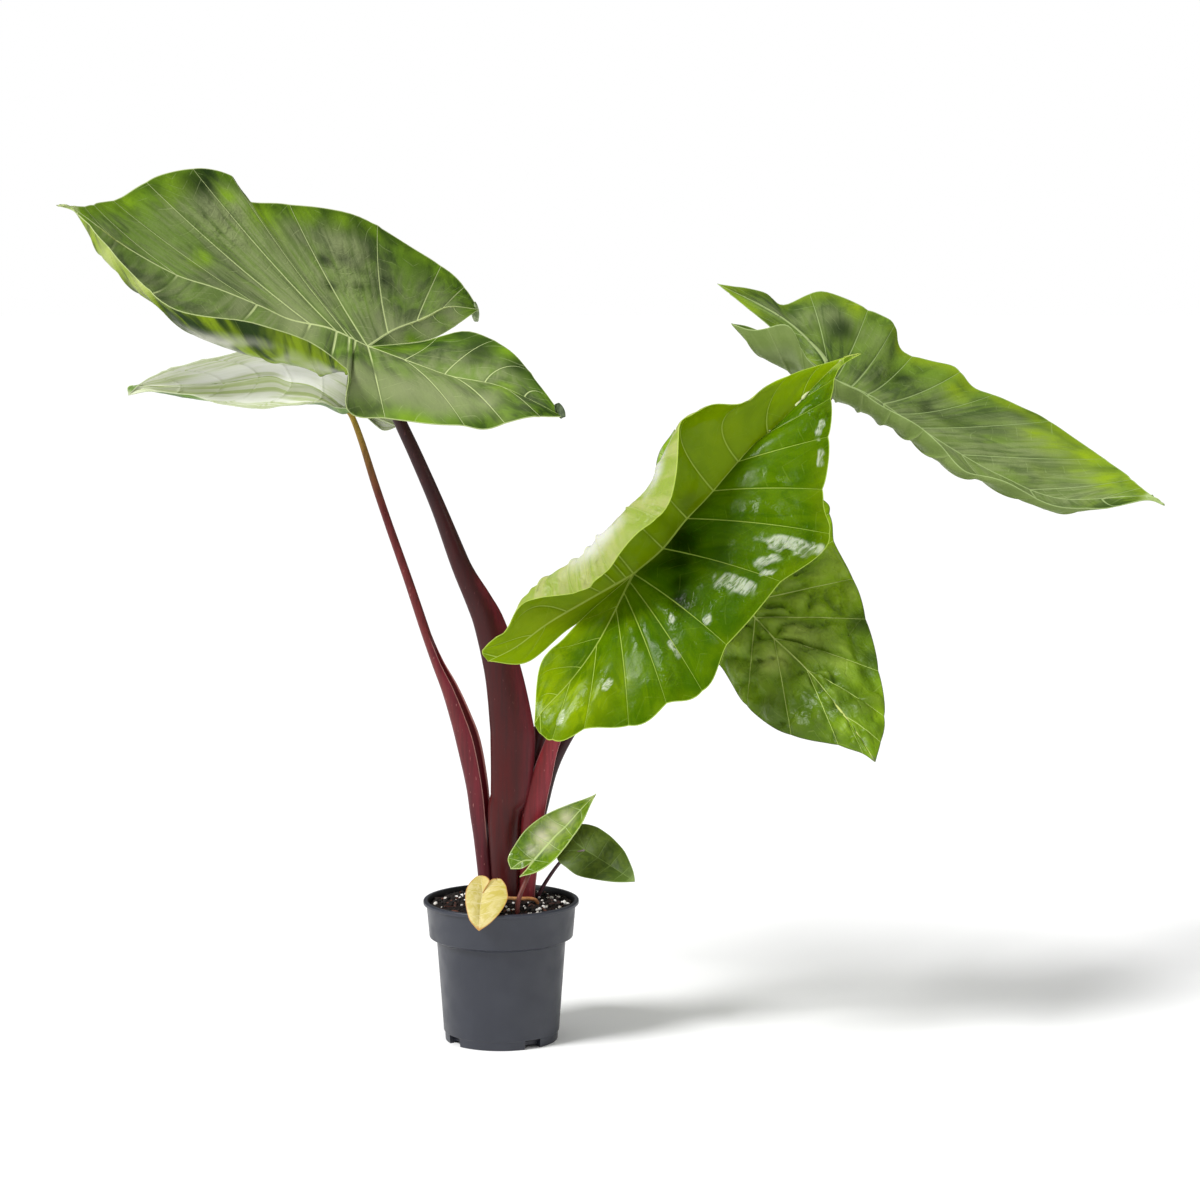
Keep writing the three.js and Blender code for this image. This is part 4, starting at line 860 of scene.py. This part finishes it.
stalks = {
"leftHigh": {
    "opening": 38, "ripe": 0.6,
    "skin": [(72, 12, 12), (61, 17, 18), (56, 34, 34), (40, 10, 14), (120, 70, 70), (104, 26, 36)],
    "rows": [
        (5, -4, 112, 13, 10, 0), (5, -4, 167, 14.5, 11, 0), (4, -5, 248, 18, 12, 0.2), (10, -6, 275, 21, 13, 0.5),
        (12, -6, 327, 23, 13, 0.8), (10, -6, 353, 22, 13, 0.9), (2, -6, 405, 19, 12, 0.9),
        (-12, -5, 457, 16, 11, 0.9), (-24, -5, 485, 13.5, 10.5, 0.8), (-43, -4, 525, 10.5, 9.5, 0),
        (-66, -3, 585, 8.2, 8.2, 0), (-90, -2, 641, 7.3, 7.3, 0), (-107, -1, 678, 6.8, 6.8, 0),
        (-126, 0, 722, 6, 6, 0), (-141, 0, 758, 4.5, 4.5, 0),
    ],
},
"leftLow": {
    "opening": -20, "ripe": 0.74,
    "skin": [(86, 24, 34), (112, 44, 44), (186, 158, 60), (92, 10, 20), (216, 150, 142), (100, 26, 36)],
    "rows": [
        (-16, 3, 112, 8, 6.5, 0), (-16, 3, 167, 8.6, 8, 0), (-19.5, 4, 214, 9.6, 8, 0.2),
        (-22.5, 4, 248, 11.2, 9, 0.7), (-26.5, 5, 282, 12, 9.5, 1), (-35, 7, 325, 13, 9.5, 1),
        (-43.5, 9, 353, 11.5, 9, 1), (-55.5, 12, 385, 9, 8, 1), (-69, 16, 414, 6.4, 7, 0.8),
        (-83, 22, 450, 5.2, 5.6, 0), (-101, 30, 503, 4.8, 4.8, 0), (-123, 42, 564, 4.4, 4.4, 0),
        (-138, 52, 607, 4.2, 4.2, 0), (-152, 61, 650, 3.6, 3.6, 0), (-163, 67, 678, 3.2, 3.2, 0),
        (-171, 70, 687, 3, 3, 0),
    ],
},
"front": {
    "opening": 0, "ripe": 0.6,
    "skin": [(98, 26, 30), (114, 35, 38), (120, 66, 54), (50, 14, 20), (206, 130, 128), (138, 44, 54)],
    "rows": [
        (30, -2, 112, 10.5, 8, 0), (29, -2, 167, 11, 9, 0.3), (36.5, -4, 253, 14.5, 10, 1), (46, -6, 292, 12.3, 9, 1),
        (57.5, -8, 330, 9, 8.3, 0.8), (81, -15, 385, 7.5, 7, 0), (108, -26, 440, 6.5, 6, 0),
        (130, -42, 492, 5.5, 5, 0), (144, -60, 520, 4.5, 4.5, 0),
    ],
},
"hanging": {
    "opening": 90, "ripe": 0.6,
    "skin": [(64, 20, 26), (92, 42, 36), (100, 66, 50), (60, 20, 24), (120, 70, 70), (92, 42, 36)],
    "rows": [
        (13, 19, 112, 8, 8, 0), (14, 19, 167, 9, 8, 0), (25, 20, 253, 11, 8, 0), (43, 18, 335, 9, 7, 0),
        (66, 14, 385, 6.5, 6, 0), (108, 8, 430, 5.5, 5.5, 0), (162, 5, 462, 5, 5, 0), (216, 8, 473, 4.5, 4.5, 0),
        (254, 9, 471, 4, 4, 0), (270, 0, 471, 3.6, 3.6, 0),
    ],
},
"right": {
    "opening": 90, "ripe": 0.8,
    "skin": [(48, 16, 22), (56, 22, 26), (186, 178, 56), (40, 16, 20), (90, 60, 60), (56, 22, 26)],
    "rows": [
        (30, 18, 112, 6.5, 6.5, 0), (30, 18, 167, 7.5, 7.5, 0), (43, 20, 253, 8, 7.5, 0), (71, 27, 330, 7.5, 7, 0),
        (160, 72, 450, 6.5, 6.5, 0), (250, 103, 570, 5.5, 5.5, 0), (324, 121, 648, 5, 5, 0),
        (362, 129, 695, 4.5, 4.5, 0), (368, 130, 713, 4.2, 4.2, 0),
    ],
},
"youngFront": {
    "opening": 0, "ripe": 0.8,
    "skin": [(112, 54, 48), (122, 68, 58), (150, 130, 70), (90, 40, 40), (160, 110, 90), (122, 68, 58)],
    "rows": [
        (19, -61, 138, 2.6, 2.6, 0), (20, -59, 165, 2.6, 2.6, 0), (31, -50, 192, 2.2, 2.2, 0),
        (36, -51, 204, 2, 2, 0), (37, -55, 209, 1.8, 1.8, 0),
    ],
},
"youngBack": {
    "opening": 0, "ripe": 0.8,
    "skin": [(88, 44, 54), (100, 74, 82), (124, 110, 110), (90, 50, 50), (150, 120, 120), (100, 74, 82)],
    "rows": [
        (38, 9, 140, 2.2, 2.2, 0), (42, 10, 160, 2.2, 2.2, 0), (64, 12, 193, 1.9, 1.9, 0), (80, 11, 203, 1.7, 1.7, 0),
        (92, 10, 207, 1.5, 1.5, 0),
    ],
},
"spent": {
    "opening": 0, "ripe": 0.7,
    "skin": [(180, 118, 72), (206, 150, 94), (216, 186, 110), (150, 100, 60), (216, 170, 120), (206, 150, 94)],
    "rows": [
        (42, -22, 148, 2, 2, 0), (37, -27, 160, 2, 2, 0), (16, -36, 163, 2, 2, 0), (-6, -50, 168, 1.6, 1.6, 0),
        (-18, -66, 175, 1.2, 1.2, 0),
    ],
},
}

stalkForm = {
    "sides": 64, "rings": 130, "topGap": 0.012,
    "sheath": [0.2, 0.25, 0.4, 1.13, 1.1, 1.06, 1.02, 1, 1, 1, 1, 1, 1],  # the open form, from its slit round
    "streak": (0.02, 0.008, 0.008, 1), "shine": 0.26, "sheen": 0.07, "sheenRoughness": 0.35,
}


def makeStalk(name, node, stalk, slot, material):
    rings = stalkForm["rings"]
    piece, ring, angle = addBall(name, stalkForm["sides"], rings)
    pole = (ring == 0) | (ring == rings)
    t = (1 - stalkForm["topGap"]) * (1 - np.clip((ring - 1) / (rings - 2), 0, 1))
    angle = np.degrees(angle)
    centres = [row[:3] for row in stalk["rows"]]
    centre = smoothCurve(centres, t)
    along = smoothCurve(centres, t + 0.01) - smoothCurve(centres, t - 0.01)
    along /= np.linalg.norm(along, axis=1)[:, None]
    deep = np.array([0, 1, 0]) - along * along[:, 1:2]
    deep /= np.linalg.norm(deep, axis=1)[:, None]
    across = np.cross(deep, along)
    width, depth, parted = smoothCurve([row[3:] for row in stalk["rows"]], t).T
    turn = np.abs((angle - stalk["opening"] + 540) % 360 - 180)
    shape = smoothCurve([[v] for v in stalkForm["sheath"]], turn / 180)[:, 0]
    factor = np.where(pole, 0, 1 + parted * (shape - 1))
    x = width * factor * np.cos(np.radians(angle))
    y = depth * factor * np.sin(np.radians(angle))
    setPoints(piece, (centre + across * x[:, None] + deep * y[:, None]) * mm)
    for field, values in (("along", t), ("turn", turn), ("open", parted)):
        setField(piece, field, values)
    smoothLook(piece)
    finishPiece(piece, node, slot, material)


def stalkMaterial(name, stalk):
    foot, middle, top, inside, lip, blush = (tone(*t) for t in stalk["skin"])
    paint = Paint(name)
    blend, times, ramp, mottle = paint.blend, paint.times, paint.ramp, paint.mottle
    spot = paint.spot()
    along = paint.field("along")
    turn = paint.field("turn")
    opened = ramp(paint.field("open"), 0.1, 0.5)
    streaks = paint.noise(paint.stretch(spot, (1, 1, 0.06)), 260, 3, 0.6)
    colour = blend(ramp(along, 0.15, 0.55), foot, middle)
    colour = blend(ramp(along, stalk["ripe"], 0.99), colour, top)
    colour = blend(times(ramp(turn, 60, 115, 1, 0), opened), colour, blush)
    colour = blend(ramp(streaks, 0.35, 0.7, 0.0, 0.4), colour, stalkForm["streak"])
    colour = blend(mottle(paint.stretch(spot, (1, 1, 0.3)), 420, 2, 0.68, 0.76, 0, 0.3), colour, lip)
    colour = blend(times(ramp(turn, 38, 44, 1, 0), opened), colour, inside)
    colour = blend(times(times(ramp(turn, 39, 43), ramp(turn, 46, 51, 1, 0)), opened), colour, lip)
    return paint.finish(Base_Color=colour, Roughness=mottle(spot, 30, 2, 0.3, 0.7, 0.3, 0.46),
                        Normal=paint.bump(streaks, 0.3, 0.0006), Specular_IOR_Level=stalkForm["shine"],
                        Sheen_Weight=stalkForm["sheen"], Sheen_Roughness=stalkForm["sheenRoughness"])


# Pot

pot = {
    "rim": 85, "band": 81.5, "body": 70.5, "base": 62, "hub": 13, "wall": 1.8, "floor": 5, "bandFoot": 113,
    "height": 155, "notchWidth": 20, "notchHeight": 10,
    "notchDepth": 14, "notchAngles": [35, 125, 215, 305], "drainRadius": 5, "drainCircle": 40, "drains": 6,
    "turnSteps": 128, "mergeGap": 0.00002, "softEdge": 0.5, "softAngle": 25, "smoothAngle": 35,
    "plastic": tone(40, 43, 53), "worn": tone(54, 57, 67), "shade": tone(20, 20, 23),
}


def fromPot(*names):
    return (pot[name] for name in names)


def addCutter(operator, **settings):
    startPiece()
    operator(**settings)
    return bpy.context.object


def makePot():
    rim, band, body, base, hub = fromPot("rim", "band", "body", "base", "hub")
    wall, floor, foot, height = fromPot("wall", "floor", "bandFoot", "height")
    profile = [
        [0, 0], [hub, 0], [hub + 1, floor], [base - 8, floor], [base - 5, 0], [base - 0.6, 0], [base, 9],
        [base + 1.2, 10.5], [body, foot - 2], [band - 3, foot + 2], [band, height - 5], [rim, height - 4],
        [rim, height - 0.8], [rim - 0.8, height], [band - wall + 0.5, height], [band - wall - 0.3, height - 5],
        [band - 3 - wall, foot + 3], [body - wall, foot - 1], [base - wall, floor + 4],
        [base - wall - 2, floor + 2.5], [0, floor + 2.5],
    ]
    startPiece()
    bpy.ops.mesh.primitive_plane_add(size=0.01)
    piece = bpy.context.object
    piece.name = "nurseryPot"
    editWhole(piece, lambda: bpy.ops.mesh.delete(type="VERT"))
    points = [(r * mm, 0, z * mm) for r, z in profile]
    piece.data.from_pydata(points, [(i, i + 1) for i in range(len(points) - 1)], [])
    editWhole(piece,
              lambda: bpy.ops.mesh.spin(steps=pot["turnSteps"], angle=math.tau, center=(0, 0, 0), axis=(0, 0, 1)),
              lambda: bpy.ops.mesh.remove_doubles(threshold=pot["mergeGap"]),
              lambda: bpy.ops.mesh.normals_make_consistent(inside=False))
    edges = piece.modifiers.new("softEdges", "BEVEL")
    edges.width = pot["softEdge"] * mm
    edges.segments = 2
    edges.limit_method = "ANGLE"
    edges.angle_limit = math.radians(pot["softAngle"])
    applyAll(piece)

    cutters = []
    for angle in pot["notchAngles"]:
        turn = math.radians(angle)
        block = addCutter(bpy.ops.mesh.primitive_cube_add, size=1, rotation=(0, 0, turn),
                          location=(base * mm * math.sin(turn), -base * mm * math.cos(turn), 0))
        block.scale = (pot["notchWidth"] * mm, pot["notchDepth"] * mm, pot["notchHeight"] * 2 * mm)
        cutters.append(block)
    for i in range(pot["drains"]):
        turn = math.tau * i / pot["drains"]
        ring = pot["drainCircle"] * mm
        cutters.append(addCutter(bpy.ops.mesh.primitive_cylinder_add, vertices=32, radius=pot["drainRadius"] * mm,
                                 depth=20 * mm, location=(ring * math.cos(turn), ring * math.sin(turn), floor * mm)))
    selectOnly(*cutters)
    bpy.ops.object.transform_apply(location=True, rotation=True, scale=True)
    bpy.ops.object.join()
    cutter = bpy.context.object
    cut = piece.modifiers.new("notchesAndDrains", "BOOLEAN")
    cut.operation = "DIFFERENCE"
    cut.object = cutter
    applyAll(piece)
    bpy.data.objects.remove(cutter)
    smoothLook(piece, pot["smoothAngle"])

    paint = Paint("satin slate plastic")
    spot = paint.spot()
    colour = paint.blend(paint.mottle(spot, 14, 3, 0.4, 0.62, 0, 0.35), pot["plastic"], pot["worn"])
    scratches = paint.mottle(paint.stretch(spot, (1, 1, 0.05)), 700, 2, 0.62, 0.74, 0, 0.2)
    colour = paint.blend(scratches, colour, pot["worn"])
    # Painted shade: the inner wall of the band near the rim darkens towards the shade tone.
    x, y, z = (paint.node("ShaderNodeSeparateXYZ", n, {0: spot}) for n in range(3))
    radius = paint.math("SQRT", paint.math("ADD", paint.times(x, x), paint.times(y, y)))
    taper = paint.math("SUBTRACT", radius, paint.times(z, 0.0857))  # the band widens upwards
    inner = paint.times(paint.ramp(taper, 0.0672, 0.068, 1, 0), paint.ramp(z, 0.12, 0.13))
    colour = paint.blend(inner, colour, pot["shade"])
    normal = paint.bump(paint.noise(spot, 1300, 2), 0.15, 0.0003)
    rough = paint.mottle(spot, 40, 3, 0.3, 0.7, 0.36, 0.5)
    finishPiece(piece, "pot", "pot_plastic", paint.finish(Base_Color=colour, Roughness=rough, Normal=normal))


# Soil

soil = {
    "gap": 0.4, "lift": 0.25, "wallHeight": 148, "mound": 9, "segments": 120, "rings": 90, "topRings": 60,
    "spread": 77, "seed": 11,
    "bits": [  # name, count, sizes, shape, roughness, low and high tone
        ("soilCrumbs", 520, (1.6, 5.5), (1, 0.85, 0.7), 0.3, tone(12, 9, 8), tone(36, 26, 22)),
        ("barkChips", 110, (3.5, 9.5), (1, 0.4, 0.28), 0.25, tone(48, 24, 18), tone(98, 56, 42)),
        ("perliteGrains", 105, (1.4, 5.6), (1, 0.9, 0.8), 0.22, tone(214, 208, 200), tone(250, 248, 244)),
    ],
}


def moundAt(r):
    return soil["wallHeight"] + soil["mound"] * (1 - (r / 80) ** 2)


def makeSoil():
    band, body, base, wall, floor, foot = fromPot("band", "body", "base", "wall", "floor", "bandFoot")
    rings = soil["rings"]
    piece, ring, turn = addBall("pottingSoil", soil["segments"], rings)
    top = ring <= soil["topRings"]
    gap = soil["gap"]
    edge = band - wall - 0.7 - gap
    walls = [
        [edge, soil["wallHeight"]], [band - 3 - wall - gap, foot + 3.4], [body - wall - gap, foot - 1],
        [base - wall - gap, floor + 4.4], [base - wall - 2.4, floor + 2.9], [0, floor + 2.9],
    ]
    down = (ring - soil["topRings"]) / (rings - soil["topRings"]) * 5
    r = np.where(top, edge * ring / soil["topRings"], np.interp(down, range(6), [w[0] for w in walls]))
    z = np.where(top, moundAt(r), np.interp(down, range(6), [w[1] for w in walls]))
    flat = np.stack([r * np.cos(turn), r * np.sin(turn), z], axis=1)
    bumps = 1.4 * noiseAt(flat, 0.09, 1) + 0.9 * noiseAt(flat, 0.3, 2)
    flat[:, 2] += np.where(top, bumps * np.clip((edge - r) / 4, 0, 1), 0)
    setPoints(piece, flat * mm)
    smoothLook(piece)

    paint = Paint("damp potting soil")
    spot = paint.spot()
    grains = paint.noise(spot, 420, 4, 0.65)
    colour = paint.blend(paint.ramp(grains, 0.35, 0.65), tone(8, 6, 6), tone(34, 25, 21))
    colour = paint.blend(paint.mottle(spot, 150, 3, 0.56, 0.68, 0, 0.5), colour, tone(70, 36, 26))
    normal = paint.bump(paint.noise(spot, 300, 4, 0.7), 0.9, 0.0022)
    finishPiece(piece, "soil", "potting_soil", paint.finish(
        Base_Color=colour, Roughness=0.95, Normal=normal, Specular_IOR_Level=0.25))


def scatter(name, count, sizes, shape, rough, material, draw):
    startPiece()
    bpy.ops.mesh.primitive_ico_sphere_add(subdivisions=2, radius=1)
    base = bpy.context.object
    lump = pointsOf(base)
    faces = [tuple(p.vertices) for p in base.data.polygons]
    bpy.data.objects.remove(base)
    points = []
    corners = []
    for n in range(count):
        size = draw.uniform(*sizes)
        r = soil["spread"] * math.sqrt(draw.random())
        turn = draw.uniform(0, math.tau)
        wobble = 1 + rough * noiseAt(lump, 1.4, n + 1)
        body = lump * wobble[:, None] * np.array(shape) * size / 2
        lean = Vector((draw.uniform(-1, 1), draw.uniform(-1, 1), 2)).to_track_quat("Z", "X").to_matrix()
        spin = np.array([[math.cos(turn * 7), -math.sin(turn * 7), 0],
                         [math.sin(turn * 7), math.cos(turn * 7), 0], [0, 0, 1]])
        body = body @ spin.T @ np.array(lean).T
        place = [r * math.cos(turn), r * math.sin(turn), moundAt(r) + soil["lift"] * size * shape[2]]
        corners += [tuple(v + len(points) for v in face) for face in faces]
        points += [tuple(p) for p in (body + place) * mm]
    mesh = bpy.data.meshes.new(name)
    mesh.from_pydata(points, [], corners)
    piece = bpy.data.objects.new(name, mesh)
    bpy.context.collection.objects.link(piece)
    smoothLook(piece)
    finishPiece(piece, None, "potting_soil", material)


def makeSoilBits():
    draw = random.Random(soil["seed"])
    for name, count, sizes, shape, rough, low, high in soil["bits"]:
        paint = Paint(name + " finish")
        spot = paint.spot()
        colour = paint.blend(paint.mottle(spot, 160, 3, 0.4, 0.6), low, high)
        normal = paint.bump(paint.noise(spot, 900, 3), 0.6, 0.0008)
        material = paint.finish(Base_Color=colour, Roughness=0.9, Normal=normal)
        scatter(name, count, sizes, shape, rough, material, draw)


# The plant in its pot

slots = {
    "leftHigh": ("left_high", "leaf_deep_green", "stalk_maroon"),
    "leftLow": ("left_low", "leaf_pale_green", "stalk_red"),
    "front": ("front", "leaf_bright_green", "stalk_red"),
    "hanging": ("hanging", "leaf_deep_green", "stalk_maroon"),
    "right": ("right", "leaf_deep_green", "stalk_maroon"),
    "youngFront": ("young_front", "leaf_bright_green", "stalk_red"),
    "youngBack": ("young_back", "leaf_dark_matte", "stalk_red"),
    "spent": ("spent", "leaf_yellow", "stalk_tan"),
}

setStudio()
print("studio ready")
makePot()
makeSoil()
makeSoilBits()
for key, (node, leafSlot, stalkSlot) in slots.items():
    title = key[0].upper() + key[1:]
    stalk = stalks[key]
    makeStalk("stalk" + title, "stalk_" + node, stalk, stalkSlot, stalkMaterial(key + " stalk skin", stalk))
    makeBlade("blade" + title, "blade_" + node, leaves[key], stalk["rows"][-1][:3], leafSlot,
              leafMaterial(key + " leaf skin", leafLooks[key]))

for name, curl in curls.items():
    makeCurl(name, curl)
